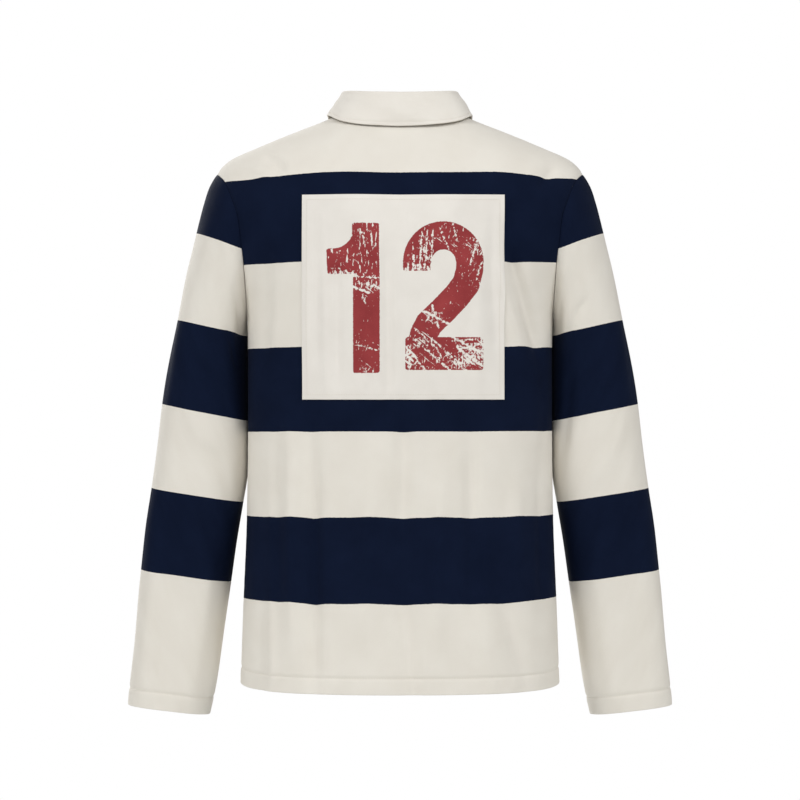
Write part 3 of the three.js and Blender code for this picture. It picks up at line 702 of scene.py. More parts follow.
# Its longer scratches, from one place to another and half as wide as given
SCRATCHES = table(
    "x0 y0 x1 y1 width",
    (-66, 25.5, -26, 22.5, 2.2),
    (-62, 12, -42, 5, 3.6),
    (-46, 16, -27, 9, 3.2),
    (-51, 3, -47, -8, 2.2),
    (-64, -57, -28, -66, 1.5),
    (-53, 84, -47, 66, 1.8),
    (-40, 80, -37, 60, 1.6),
    (-88, 35, -87, 25, 1.8),
    (-79, 37, -78, 25, 2.2),
    (-71, 33, -70, 25, 1.8),
    (22, 74, 20, 30, 2.4),
    (29, 80, 27, 44, 2.2),
    (36, 82, 33, 30, 2.4),
    (44, 84, 55, 58, 1.8),
    (59, 92, 66, 66, 1.6),
    (90, 68, 81, 40, 2.2),
    (96, 44, 88, 20, 2),
    (22, -16, 54, -32, 3.4),
    (35, -10, 43, -38, 2.6),
    (14, -38, 42, -64, 2.2),
    (14, -52, 58, -90, 2.4),
    (2, -58, 26, -88, 2.6),
    (34, -50, 76, -88, 2.2),
    (58, -47, 98, -70, 3.6),
    (66, -62, 98, -84, 4),
    (60, -53, 100, -50, 2),
    (66, -60, 100, -66, 2.6),
    (74, -71, 100, -73, 2.6),
    (64, -80, 100, -78, 2),
    (82, -56, 100, -58, 2.6),
    (5, 26, 6, 41, 2.6),
    (11, 26, 13, 50, 3),
    (18, 26, 18, 39, 3.2),
    (25, 26, 26, 42, 2.6),
    (31, 26, 30, 38, 3),
)


def off_stroke(x, y, a, b, half):
    """How far places lie outside a round-ended stroke from a to b. It is below zero in it."""
    dx, dy = b[0] - a[0], b[1] - a[1]
    share = np.clip(((x - a[0]) * dx + (y - a[1]) * dy) / (dx**2 + dy**2), 0, 1)
    return np.hypot(x - a[0] - share * dx, y - a[1] - share * dy) - half


def off_box(x, y, left, right, low, high):
    return both(left - x, x - right, low - y, y - high)


def both(*gaps):
    """The gap to what several shapes have in common, with rounded corners."""
    result = gaps[0]
    for gap in gaps[1:]:
        near = np.clip(1 - np.abs(result - gap) / CORNER, 0, 1)
        result = np.maximum(result, gap) + near**3 * CORNER / 6
    return result


def off_number(x, y):
    """How far places on the patch lie outside the printed number. It is below zero in it."""
    hollow_x, hollow_y, hollow_r = ONE_HOLLOW
    hollow = hollow_r - np.hypot(x - hollow_x, y - hollow_y)
    # Left of the hollow's middle the flag has a level top.
    hollow = np.where(x < hollow_x, y - (hollow_y - hollow_r), hollow)
    flag = both(off_box(x, y, *ONE_FLAG), hollow)
    one = np.minimum(off_box(x, y, *ONE_STEM), flag)
    bowl_x, bowl_y, bowl_r = TWO_BOWL
    ring = np.abs(np.hypot(x - bowl_x, y - bowl_y) - bowl_r) - TWO_STROKE
    left = bowl_x - bowl_r - TWO_STROKE
    terminal = off_box(x, y, left, left + 2 * TWO_STROKE, TWO_TERMINAL, bowl_y + 4)
    two = np.minimum(np.maximum(ring, bowl_y - y), terminal)
    for a, b in zip(TWO_PATH, TWO_PATH[1:]):
        two = np.minimum(two, off_stroke(x, y, a, b, TWO_STROKE * 0.98))
    two = np.minimum(two, off_box(x, y, *TWO_BASE))
    return np.minimum(one, np.maximum(two, TWO_BASE[2] - y))


def print_layers(x, y):
    """Per-corner values for the patch: the gap to the number, the gap to the nearest long
    scratch, both in millimetres, how badly the print is worn, and whether its scratches there
    are all upright."""
    worn = np.zeros(x.shape)
    for spot in WORN:
        away = ((x - spot["x"]) / spot["reach_x"]) ** 2 + ((y - spot["y"]) / spot["reach_y"]) ** 2
        worn = np.maximum(worn, spot["worn"] * np.exp(-away))
    upright = np.zeros(x.shape)
    for spot in UPRIGHT:
        away = np.hypot((x - spot["x"]) / spot["reach_x"], (y - spot["y"]) / spot["reach_y"])
        upright = np.maximum(upright, smooth((1.15 - away) / 0.3))
    scratch = np.full(x.shape, 50.0)
    for line in SCRATCHES:
        a, b = (line["x0"], line["y0"]), (line["x1"], line["y1"])
        scratch = np.minimum(scratch, off_stroke(x, y, a, b, line["width"] / 2))
    return {
        "print": np.stack([off_number(x, y), scratch], -1) * MM,
        "worn": np.stack([worn, upright], -1),
    }


def print_mask(tree, place):
    """1 where the number's print is still there, and 0 where it never was or has come off in
    specks, scratches and worn bands."""
    layer = node(tree, "ShaderNodeUVMap", uv_map="print").outputs["UV"]
    gaps = node(tree, "ShaderNodeSeparateXYZ", {"Vector": vector(tree, "SCALE", layer, 1000.0)})
    worn_layer = node(tree, "ShaderNodeUVMap", uv_map="worn").outputs["UV"]
    wear = node(tree, "ShaderNodeSeparateXYZ", {"Vector": worn_layer})
    worn, upright = wear.outputs["X"], wear.outputs["Y"]
    rough = noise(tree, place, 0.45, 3.0)
    edge = maths(tree, "MULTIPLY_ADD", rough, 1.6, maths(tree, "SUBTRACT", gaps.outputs["X"], 0.8))
    printed = maths(tree, "MULTIPLY_ADD", edge, -2.5, 0.5, clamp=True)

    def scratches(angle, along, across, seed):
        turned = node(
            tree,
            "ShaderNodeMapping",
            {"Vector": place, "Location": (seed, 0, 0), "Rotation": (0, 0, math.radians(angle))},
        ).outputs["Vector"]
        stretched = vector(tree, "MULTIPLY", turned, (1 / across, 1 / along, 0))
        return noise(tree, stretched, 1.0, 4.0)

    patchy = noise(tree, place, 0.05, 2.0)
    level = maths(tree, "MULTIPLY_ADD", patchy, 0.12, 0.255)
    level = maths(tree, "MULTIPLY_ADD", worn, 0.2, level)
    # Slanting scratches are kept off where all are upright.
    slanting = maths(tree, "MULTIPLY", upright, 0.3)
    marks = (
        maths(tree, "MULTIPLY_ADD", upright, -0.045, scratches(4, 9, 2.4, 13.0)),
        maths(tree, "ADD", scratches(-52, 20, 2.8, 71.0), slanting),
        maths(tree, "ADD", scratches(38, 15, 2.6, 37.0), maths(tree, "ADD", slanting, 0.03)),
        maths(tree, "ADD", noise(tree, place, 0.33, 4.0), 0.02),
    )
    lowest = marks[0]
    for mark in marks[1:]:
        lowest = maths(tree, "MINIMUM", lowest, mark)
    off = maths(tree, "SUBTRACT", level, lowest)
    # The long scratches waver and break up along their length.
    ragged = maths(tree, "MULTIPLY_ADD", noise(tree, place, 0.3, 4.0), 7.0, -3.4)
    torn = maths(tree, "MULTIPLY", maths(tree, "ADD", gaps.outputs["Y"], ragged), -0.03)
    gone = maths(tree, "MULTIPLY", maths(tree, "MAXIMUM", off, torn), 60.0, clamp=True)
    return maths(tree, "MULTIPLY", printed, maths(tree, "SUBTRACT", 1.0, gone))


def make_patch_cloth():
    # Cream cotton of the patch, with a brick-red number in old, cracked and rubbed print
    made, tree, shader, place = cloth_material("cotton_patch_printed", 0.84, 0.05)
    broad = noise(tree, place, 0.03, 3.0)
    fine = noise(tree, place, 0.9, 2.0)
    lumps = maths(tree, "MULTIPLY_ADD", fine, 0.4, maths(tree, "MULTIPLY", broad, 0.8))
    cream = mix(tree, lumps, colour("#dad5cd"), colour("#e8e4dd"))
    red = mix(tree, lumps, colour("#6c2226"), colour("#a64647"))
    paint = print_mask(tree, place)
    tree.links.new(mix(tree, paint, cream, red), shader.inputs["Base Color"])
    rough = maths(tree, "MULTIPLY_ADD", paint, -0.25, 0.86)
    tree.links.new(rough, shader.inputs["Roughness"])
    weave = maths(tree, "MULTIPLY", twill_height(tree, place), 0.5)
    bump(tree, shader, maths(tree, "MULTIPLY_ADD", paint, 0.5, weave), 0.3, 0.1)
    return made


def make_thread():
    # Cream cotton sewing thread
    made, tree, shader, place = cloth_material("cotton_thread_cream", 0.7, 0.1)
    ply = noise(tree, place, 3.0, 2.0)
    tree.links.new(
        mix(tree, ply, colour("#cdc6ba"), colour("#e4dfd5")), shader.inputs["Base Color"]
    )
    return made


def make_rubber():
    # Cream moulded rubber of the buttons
    made, tree, shader, place = cloth_material("rubber_button_cream", 0.5, 0.0)
    mottle = noise(tree, place, 0.35, 3.0)
    tree.links.new(
        mix(tree, mottle, colour("#cfc6b4"), colour("#ded6c6")), shader.inputs["Base Color"]
    )
    bump(tree, shader, mottle, 0.15, 0.1)
    return made


def new_object(name, vertices, faces, material, uvs=None):
    """A smooth mesh from points in millimetres. uvs maps a layer's name to a pair per corner."""
    mesh = bpy.data.meshes.new(name)
    mesh.from_pydata((np.asarray(vertices) * MM).tolist(), [], faces)
    mesh.materials.append(material)
    for layer, pairs in (uvs or {}).items():
        mesh.uv_layers.new(name=layer).data.foreach_set("uv", np.asarray(pairs, "f").ravel())
    mesh.shade_smooth()
    made = bpy.data.objects.new(name, mesh)
    bpy.context.scene.collection.objects.link(made)
    return made


def sheet_object(name, outer, inner, uvs, material, wrap=False, keep=None):
    """One closed wall of cloth between two grids of points. keep drops cells that are cut out."""
    rows, columns = outer.shape[:2]
    last = columns if wrap else columns - 1
    kept = np.ones((rows - 1, last), bool) if keep is None else keep
    i, j = np.nonzero(kept)
    k = j + 1

    def corner(sheet, a, b):
        return (sheet * rows + a) * columns + b % columns, (a, b)

    faces, places = [], []

    def add(*corners):
        faces.append(np.stack([c[0] for c in corners], 1))
        places.append(np.stack([np.stack(c[1], 1) for c in corners], 1))

    add(corner(0, i, j), corner(0, i, k), corner(0, i + 1, k), corner(0, i + 1, j))
    add(corner(1, i, j), corner(1, i + 1, j), corner(1, i + 1, k), corner(1, i, k))
    for di, dj in ((-1, 0), (1, 0), (0, -1), (0, 1)):
        ni, nj = i + di, j + dj
        if wrap:
            nj = nj % last
        inside = (ni >= 0) & (ni < rows - 1) & (nj >= 0) & (nj < last)
        open_ = ~inside
        open_[inside] = ~kept[ni[inside], nj[inside]]
        a, b = i[open_], j[open_]
        ends = {
            (-1, 0): ((a, b), (a, b + 1)),
            (1, 0): ((a + 1, b + 1), (a + 1, b)),
            (0, -1): ((a + 1, b), (a, b)),
            (0, 1): ((a, b + 1), (a + 1, b + 1)),
        }[(di, dj)]
        (a0, b0), (a1, b1) = ends
        add(corner(0, a1, b1), corner(0, a0, b0), corner(1, a0, b0), corner(1, a1, b1))
    faces = np.concatenate(faces)
    places = np.concatenate(places)
    vertices = np.concatenate([outer.reshape(-1, 3), inner.reshape(-1, 3)])
    used = np.unique(faces)
    renumber = np.zeros(len(vertices), int)
    renumber[used] = np.arange(len(used))
    layers = {n: v[places[..., 0], places[..., 1]] for n, v in uvs.items()}
    return new_object(name, vertices[used], renumber[faces].tolist(), material, layers)


class Thread:
    """Stitches gathered into one mesh: short rounded lengths that dip into the cloth."""

    SIDES = 6
    ALONG = ((-0.5, 0.0), (-0.42, 0.7), (-0.18, 1.0), (0.18, 1.0), (0.42, 0.7), (0.5, 0.0))

    def __init__(self):
        self.vertices, self.faces, self.uvs = [], [], []
        self.count = 0

    def sew(self, points, facing, pitch=3.3, length=2.6, radius=0.3, lift=0.12):
        """Even stitches along a line of points, each given with the way that the cloth faces."""
        points, facing = np.asarray(points, float), np.asarray(facing, float)
        run = np.concatenate([[0], np.cumsum(np.linalg.norm(np.diff(points, axis=0), axis=1))])
        count = int(run[-1] / pitch)
        at = (np.arange(count) + 0.5) * run[-1] / max(count, 1)
        ends = [
            np.stack([np.interp(at + d, run, points[:, c]) for c in range(3)], 1)
            for d in (-length / 2, length / 2)
        ]
        up = unit(np.stack([np.interp(at, run, facing[:, c]) for c in range(3)], 1))
        along = unit(ends[1] - ends[0])
        side = unit(np.cross(along, up))
        up = np.cross(side, along)
        middle = (ends[0] + ends[1]) / 2
        for n in range(count):
            self.stitch(middle[n], along[n], side[n], up[n], length, radius, lift)

    def stitch(self, middle, along, side, up, length, radius, lift):
        start = self.count
        rings = []
        for share, wide in self.ALONG:
            arch = lift - 1.9 * radius * (2 * share) ** 4
            centre = middle + along * share * length + up * arch
            sides = 1 if wide == 0 else self.SIDES
            ring = []
            for k in range(sides):
                angle = 2 * math.pi * k / self.SIDES
                reach = side * math.cos(angle) + up * math.sin(angle)
                self.vertices.append(centre + reach * radius * wide)
                self.uvs.append((share * length * MM, k * radius * MM))
                ring.append(self.count)
                self.count += 1
            rings.append(ring)
        for a, b in zip(rings, rings[1:]):
            for k in range(self.SIDES):
                m = (k + 1) % self.SIDES
                if len(a) == 1:
                    self.faces.append((a[0], b[k], b[m]))
                elif len(b) == 1:
                    self.faces.append((a[k], b[0], a[m]))
                else:
                    self.faces.append((a[k], b[k], b[m], a[m]))
        return start

    def object(self, name, material):
        corners = [self.uvs[v] for face in self.faces for v in face]
        return new_object(name, self.vertices, self.faces, material, {"cloth": corners})


jersey = make_jersey()
twill = make_twill()
patch_cloth = make_patch_cloth()
thread = make_thread()
rubber = make_rubber()


HOOP_PITCH = 104
HOOP_SWAY = 0.25  # how far a hoop's line rises on a ridge, as a share of the ridge's height


def hoop_count(z, levels):
    """How many colour changes lie above a point, with the share of the way to the next one.
    It is below zero above them all, and levels has their heights at each point."""
    found = (levels[0] - z) / HOOP_PITCH
    for n, (high, low) in enumerate(zip(levels, levels[1:])):
        found = np.where(z < high, n + (high - z) / (high - low), found)
    below = (levels[-1] - z) / HOOP_PITCH
    return np.where(z < levels[-1], len(levels) - 1 + np.minimum(below, 0.9), found)


def make_panel(name, side):
    """The back or front panel. Returns its object and the stitch line of its hem."""
    length = UNDERARM_Z - HEM_Z
    near = [0.0015, 0.0035, 0.0065, 0.011, 0.018, 0.028]
    across = lines(161, -1, 1, *[v - 1 for v in near], *[1 - v for v in near])
    if side > 0:
        across = across[::-1]
    hem = [0.35 / length, 0.9 / length, 2 / length, *[(HEM_TURN + d) / length for d in (-2.5, -1.2, 0, 1.2, 2.5)]]
    up = lines(185, 0, 2, *hem, 1.95, 1.965, 1.98, 1.99)
    a, u = np.meshgrid(across, up)
    x, z = panel_place(side, a, u)
    base, facing = panel_surface(side, x, z)
    rows, columns = lengths(base, 1), lengths(base, 0)
    to_side = np.minimum(rows, rows[:, -1:] - rows)
    to_top = columns[-1:] - columns
    to_seam = np.minimum(to_side, to_top)
    at_hem = columns
    edge = np.minimum(to_seam, at_hem)
    pucker = np.sin(columns / 3.1 + np.sin(columns / 17)) * np.exp(-to_side / 5) * smooth(to_side / 3)
    pucker += np.sin(rows / 3.4 + np.sin(rows / 13)) * np.exp(-to_top / 5) * smooth(to_top / 3)
    at_side = np.exp(-((to_side / 4.5) ** 2)) * (1 - in_armpit(z))
    relief = -0.9 * np.maximum(at_side, np.exp(-((to_top / 4.5) ** 2))) - 0.3 * pucker
    relief -= 1.1 * np.exp(-(((at_hem - HEM_TURN) / 1.7) ** 2))
    ripple = np.sin(rows / 6.3 + 1.7 * np.sin(rows / 31)) * np.sin(np.clip(at_hem / HEM_TURN, 0, 1) * np.pi)
    relief += 0.3 * ripple + 0.25 * smooth(1 - at_hem / HEM_TURN)
    face = base + facing * relief[..., None]
    thick = JERSEY + TURN_PLY * smooth((HEM_TURN + 0.6 - at_hem) / 1.2)
    drop = rounding(edge, thick)
    outer = face - facing * drop[..., None]
    inner = face - facing * (thick - drop)[..., None]
    middle = rows - rows[:, rows.shape[1] // 2][:, None]
    flat = np.stack([middle, columns - columns[:1]], -1) * MM
    swing_left, swing_right = smooth((x - 90) / 120), smooth((-x - 110) / 100)
    levels = [h["z"] - h["left"] * swing_left - h["right"] * swing_right for h in BODY_HOOPS]
    sway = HOOP_SWAY * panel_relief(side, x, z)
    hoops = hoop_count(z - sway, levels)
    layers = {"cloth": flat, "hoops": np.stack([hoops, at_hem * MM], -1)}
    keep = None
    if side < 0:
        cx = (x[:-1, :-1] + x[1:, 1:]) / 2
        cz = (z[:-1, :-1] + z[1:, 1:]) / 2
        keep = ~((np.abs(cx) < SLIT_HALF) & (cz > SLIT_BOTTOM_Z))
    made = sheet_object(name, outer, inner, layers, jersey, keep=keep)
    row = int(np.argmin(np.abs(up - HEM_TURN / length)))
    return made, (outer[row, 2:-2], facing[row, 2:-2])


def make_sleeve(name, hand):
    """A sleeve. Returns its object and the stitch line of its cuff."""
    last = len(SLEEVE_RINGS) - 1
    cuff_step = math.hypot(3.4, 38.5)
    cuff = [last - d / cuff_step for d in (0.35, 0.9, 2, CUFF_TURN - 2, CUFF_TURN - 1, CUFF_TURN, CUFF_TURN + 1, CUFF_TURN + 2)]
    index = lines(171, 0, last, 0.012, 0.03, 0.06, 0.1, 0.16, *cuff)
    turn = np.arange(0, 360, 3.0)
    t, i = np.meshgrid(turn, index)
    calm = sleeve_point(t, i)
    start = calm[1] - calm[0]
    step = np.linalg.norm(start, axis=-1, keepdims=True)
    calm[0] += unit(start) * np.minimum(0.05, step / 2)
    facing = -grid_facing(calm, True)
    down = lengths(calm, 0)
    # Beside the armhole the sleeve faces as the panel does, where the two run on smoothly.
    seam_x, seam_z = calm[0, :, 0], calm[0, :, 2]
    behind = (turn <= 180)[:, None]
    beside = np.where(
        behind, panel_surface(1, seam_x, seam_z)[1], panel_surface(-1, seam_x, seam_z)[1]
    )
    alike = smooth((np.sum(facing * beside, axis=-1) - 0.1) / 0.5)
    near = np.exp(-((down / 5) ** 2)) * alike
    facing = unit(facing * (1 - near)[..., None] + beside * near[..., None])
    to_cuff = down[-1:] - down
    share = i / last
    relief = np.zeros(t.shape)
    for f in SLEEVE_FOLDS[hand]:
        s = (share - f["from"]) / (f["to"] - f["from"])
        centre = f["turn0"] + (f["turn1"] - f["turn0"]) * s
        away = (t - centre + 540) % 360 - 180
        relief += f["depth"] * smooth(s * 3) * smooth((1 - s) * 3) * np.exp(-((away / f["width"]) ** 2))
    relief += 0.4 * np.sin(down / 33 + np.radians(t) * 2) + 0.3 * np.sin(down / 21 - np.radians(t) * 3 + 1)
    relief *= smooth(down / 26)
    relief += SEAM / 2 * near
    around = lengths(np.concatenate([calm, calm[:, :1]], 1), 1)[:, :-1]
    relief -= 0.9 * np.exp(-((down / 4.5) ** 2)) * (1 - in_armpit(seam_z))
    pucker = np.sin(around / 3.3 + np.sin(around / 15)) * smooth(down / 3)
    relief -= 0.35 * pucker * np.exp(-down / 6)
    relief -= 1.1 * np.exp(-(((to_cuff - CUFF_TURN) / 1.7) ** 2))
    cuff_share = np.clip(to_cuff / CUFF_TURN, 0, 1)
    relief += 0.28 * np.sin(around / 6.1 + 1.5 * np.sin(around / 29)) * np.sin(cuff_share * np.pi)
    # The inner side of the sleeve stays off the body.
    inside = np.exp(-(((t - 180) / 34) ** 2)) * smooth((0.62 - share) / 0.1)
    relief = np.where(relief > 0, relief * (1 - inside), relief)
    face = calm + facing * relief[..., None]
    edge = np.minimum(down, to_cuff)
    thick = JERSEY + TURN_PLY * smooth((CUFF_TURN + 0.6 - to_cuff) / 1.2)
    drop = rounding(edge, thick)
    outer = face - facing * drop[..., None]
    inner = face - facing * (thick - drop)[..., None]
    full = lengths(np.concatenate([calm, calm[:, :1]], 1), 1)
    centred = full - full[:, -1:] / 2
    drop_down = np.concatenate([down, down[:, :1]], 1)
    flat = np.stack([centred, -drop_down], -1) * MM
    x, z = calm[..., 0], calm[..., 2]
    counts = np.zeros(x.shape)
    levels = []
    for line in SLEEVE_HOOPS:
        slope = (line["out_z"] - line["in_z"]) / (line["out_x"] - line["in_x"])
        levels.append(line["in_z"] + slope * (x - line["in_x"]))
    # The cap of the sleeve is navy up to the shoulder, as the body is beside it.
    counts = np.maximum(1 + hoop_count(z, levels), 0.02)
    counts = np.concatenate([counts, counts[:, :1]], 1)
    hoops = np.stack([counts, np.concatenate([to_cuff, to_cuff[:, :1]], 1) * MM], -1)
    if hand == "right":
        flip = np.array([-1.0, 1.0, 1.0])
        outer, inner, facing = outer * flip, inner * flip, facing * flip
    else:
        order = -np.arange(t.shape[1]) % t.shape[1]
        outer, inner, facing = outer[:, order], inner[:, order], facing[:, order]
        flat, hoops = flat[:, ::-1], hoops[:, ::-1]
    made = sheet_object(name, outer, inner, {"cloth": flat, "hoops": hoops}, jersey, wrap=True)
    row = int(np.argmin(np.abs(index - (last - CUFF_TURN / cuff_step))))
    ring = np.concatenate([outer[row], outer[row, :1]])
    return made, (ring, np.concatenate([facing[row], facing[row, :1]]))


def collar_grid(turns):
    """Points of the collar's middle surface: a row for each angle round the neck, from the
    neck seam up the stand, over the fold and down the leaf to its free edge."""
    angle = np.radians(turns)
    sign = np.where(turns < 0, -1, 1)
    row = collar_at(np.abs(turns))
    behind = np.abs(turns) <= 90
    seam = np.where(behind[:, None], neck_seam(1, turns), neck_seam(-1, turns))
    side = np.where(behind, 1, -1)
    fold = stack(sign * row["fold_x"], row["fold_y"], row["fold_z"])
    away = side * LEAF_CLEAR * np.sqrt(np.abs(np.cos(angle)))
    lift = LEAF_CLEAR * np.sin(angle) ** 2
    on_back = cloth_y(1, row["edge_x"], row["edge_z"])
    on_front = cloth_y(-1, row["edge_x"], row["edge_z"])
    edge_y = np.where(behind, on_back, on_front) + away
    edge = stack(sign * row["edge_x"], edge_y, row["edge_z"] + lift)
    outward = stack(np.sin(angle), np.cos(angle), 0)
    up = unit(fold - seam)
    base = seam + up * STAND_LIFT - outward * STAND_INSET
    crest = fold - up * FOLD_RADIUS
    points = []
    for share in lines(13, 0, 1, 0.012, 0.03):
        belly = 0.8 * math.sin(share * math.pi)
        points.append(base + (crest - base) * share + outward * belly)
    for bend in np.radians(np.arange(15, 180, 15)):
        centre = crest + outward * FOLD_RADIUS
        points.append(centre - outward * FOLD_RADIUS * np.cos(bend) + up * FOLD_RADIUS * np.sin(bend))
    leaf_top = crest + outward * 2 * FOLD_RADIUS
    bulge = LEAF_BULGE * np.cos(angle) ** 2
    size = np.linalg.norm(edge - leaf_top, axis=-1)
    from_edge = np.array([0, 0.35, 0.8, 1.6, 3, 4.2, 5, 5.8, 7])
    for n in range(19):
        share = n / 18 * (1 - 8.5 / size)
        points.append(leaf_point(leaf_top, edge, outward, bulge, share))
    for gap in from_edge[::-1]:
        points.append(leaf_point(leaf_top, edge, outward, bulge, 1 - gap / size))
    return np.stack(points, 1)


def leaf_point(top, edge, outward, bulge, share):
    share = np.broadcast_to(share, bulge.shape)[:, None]
    return top + (edge - top) * share + outward * bulge[:, None] * np.sin(share * np.pi)


def make_collar():
    """The collar. Returns its object and its stitch lines."""
    ends = [0.15, 0.4, 0.9, 1.6, 2.6, 3.6]
    turns = lines(179, -COLLAR_END, COLLAR_END, *[COLLAR_END - e for e in ends], *[e - COLLAR_END for e in ends])
    middle = collar_grid(turns)
    facing = -grid_facing(middle, False)
    down, around = lengths(middle, 1), lengths(middle, 0)
    to_free = down[:, -1:] - down
    leaf = smooth((down - 34) / 14)
    to_end = np.minimum(around, around[-1:] - around)
    dents = 0.5 * np.sin(around / 21 + 0.6) + 0.35 * np.sin(around / 11 + down / 9) + 0.3 * np.sin(around / 34 - down / 14)
    groove = -0.4 * np.exp(-(((to_free - 5) / 1.1) ** 2)) + 0.3 * np.sin(around / 5.7) * np.exp(-(((to_free - 2.4) / 2) ** 2))
    relief = leaf * (dents * smooth(to_end / 20) + groove)
    face = middle + facing * relief[..., None]
    edge = np.minimum(np.minimum(down, to_free), to_end)
    half = TWILL / 2 - rounding(edge, TWILL)
    outer, inner = face + facing * half[..., None], face - facing * half[..., None]
    across = around - around[around.shape[0] // 2][None]
    flat = np.stack([across, down], -1) * MM
    made = sheet_object("collar_twill", inner, outer, {"cloth": flat}, twill)
    column = middle.shape[1] - 1 - 6
    leaf_start = middle.shape[1] - 9
    low, high = 6, len(turns) - 7
    lines_sewn = [(outer[low : high + 1, column], facing[low : high + 1, column])]
    lines_sewn.append((outer[low, leaf_start - 14 : column + 1], facing[low, leaf_start - 14 : column + 1]))
    lines_sewn.append((outer[high, leaf_start - 14 : column + 1], facing[high, leaf_start - 14 : column + 1]))
    return made, lines_sewn


def neck_z(x):
    """Height of the front neckline at a place across it."""
    turn = 180 - np.degrees(np.arcsin(np.abs(x) / NECK_HALF))
    return neck_seam(-1, turn)[..., 2]


def strip_lines(low, high, size, inset):
    """Values from low to high with fine steps at both edges and at a stitch line inside them."""
    fine = [0.35, 0.8, 1.6, inset - 1, inset, inset + 1]
    return lines(size, low, high, *[low + f for f in fine], *[high - f for f in fine])


def make_on_panel(name, side, x, z, off, thick, material, more_layers=None):
    """A flat piece that lies on or under a panel, from a grid of places on it."""
    base, facing = panel_surface(side, x, z)
    rows, columns = lengths(base, 1), lengths(base, 0)
    edge = np.minimum(np.minimum(rows, rows[:, -1:] - rows), np.minimum(columns, columns[-1:] - columns))
    drop = rounding(edge, thick)
    outer = base + facing * (off + thick - drop)[..., None]
    inner = base + facing * (off + drop)[..., None]
    middle = rows - rows[:, rows.shape[1] // 2][:, None]
    rise = columns - columns[columns.shape[0] // 2][None]
    layers = {"cloth": np.stack([middle, rise], -1) * MM}
    if more_layers:
        layers.update(more_layers(middle, rise))
    made = sheet_object(name, outer, inner, layers, material)
    return made, outer, facing


def make_patch():
    inset = 6
    x = strip_lines(PATCH_RIGHT, PATCH_LEFT, 171, inset)[::-1]
    z = strip_lines(PATCH_BOTTOM, PATCH_TOP, 171, inset)
    xs, zs = np.meshgrid(x, z)
    made, outer, facing = make_on_panel(
        "number_patch_cloth", 1, xs, zs, SEAM + 0.15, TRIM, patch_cloth, print_layers
    )
    i0, i1 = int(np.argmin(np.abs(z - PATCH_BOTTOM - inset))), int(np.argmin(np.abs(z - PATCH_TOP + inset)))
    j0, j1 = int(np.argmin(np.abs(x - PATCH_LEFT + inset))), int(np.argmin(np.abs(x - PATCH_RIGHT - inset)))
    sewn = [
        (outer[i0, j0 : j1 + 1], facing[i0, j0 : j1 + 1]),
        (outer[i1, j0 : j1 + 1], facing[i1, j0 : j1 + 1]),
        (outer[i0 : i1 + 1, j0], facing[i0 : i1 + 1, j0]),
        (outer[i0 : i1 + 1, j1], facing[i0 : i1 + 1, j1]),
    ]
    return made, sewn


def strip_grid(half, bottom, inset):
    x = strip_lines(-half, half, 21, inset)
    share = lines(90, 0, 1, 0.002, 0.005, 0.01, 0.018, 0.99, 0.995, 0.998)
    xs, shares = np.meshgrid(x, share)
    top = neck_z(xs) - 0.2
    return x, share, xs, bottom + (top - bottom) * shares


def make_placket():
    inset = 3
    x, share, xs, zs = strip_grid(PLACKET_HALF, PLACKET_BOTTOM_Z, inset)
    over, outer, facing = make_on_panel("placket_over_twill", -1, xs, zs, SEAM, TRIM, twill)
    j0, j1 = int(np.argmin(np.abs(x + PLACKET_HALF - inset))), int(np.argmin(np.abs(x - PLACKET_HALF + inset)))
    low = int(np.argmin(np.abs(share - 0.018)))
    high = int(np.argmin(np.abs(zs[:, len(x) // 2] - SLIT_BOTTOM_Z - 6)))
    sewn = [
        (outer[low:-4, j0], facing[low:-4, j0]),
        (outer[low:-4, j1], facing[low:-4, j1]),
        (outer[low, j0 : j1 + 1], facing[low, j0 : j1 + 1]),
        (outer[high, j0 : j1 + 1], facing[high, j0 : j1 + 1]),
    ]
    _, _, ux, uz = strip_grid(UNDER_HALF, SLIT_BOTTOM_Z - 6, inset)
    # The under strip gives way where the panel dips towards the neck seam.
    behind = -(JERSEY + SEAM + 1.2) - 1.1 * smooth(1.2 - (neck_z(ux) - uz) / 12)
    under, _, _ = make_on_panel("placket_under_twill", -1, ux, uz, behind, 1.0, twill)
    return over, under, sewn


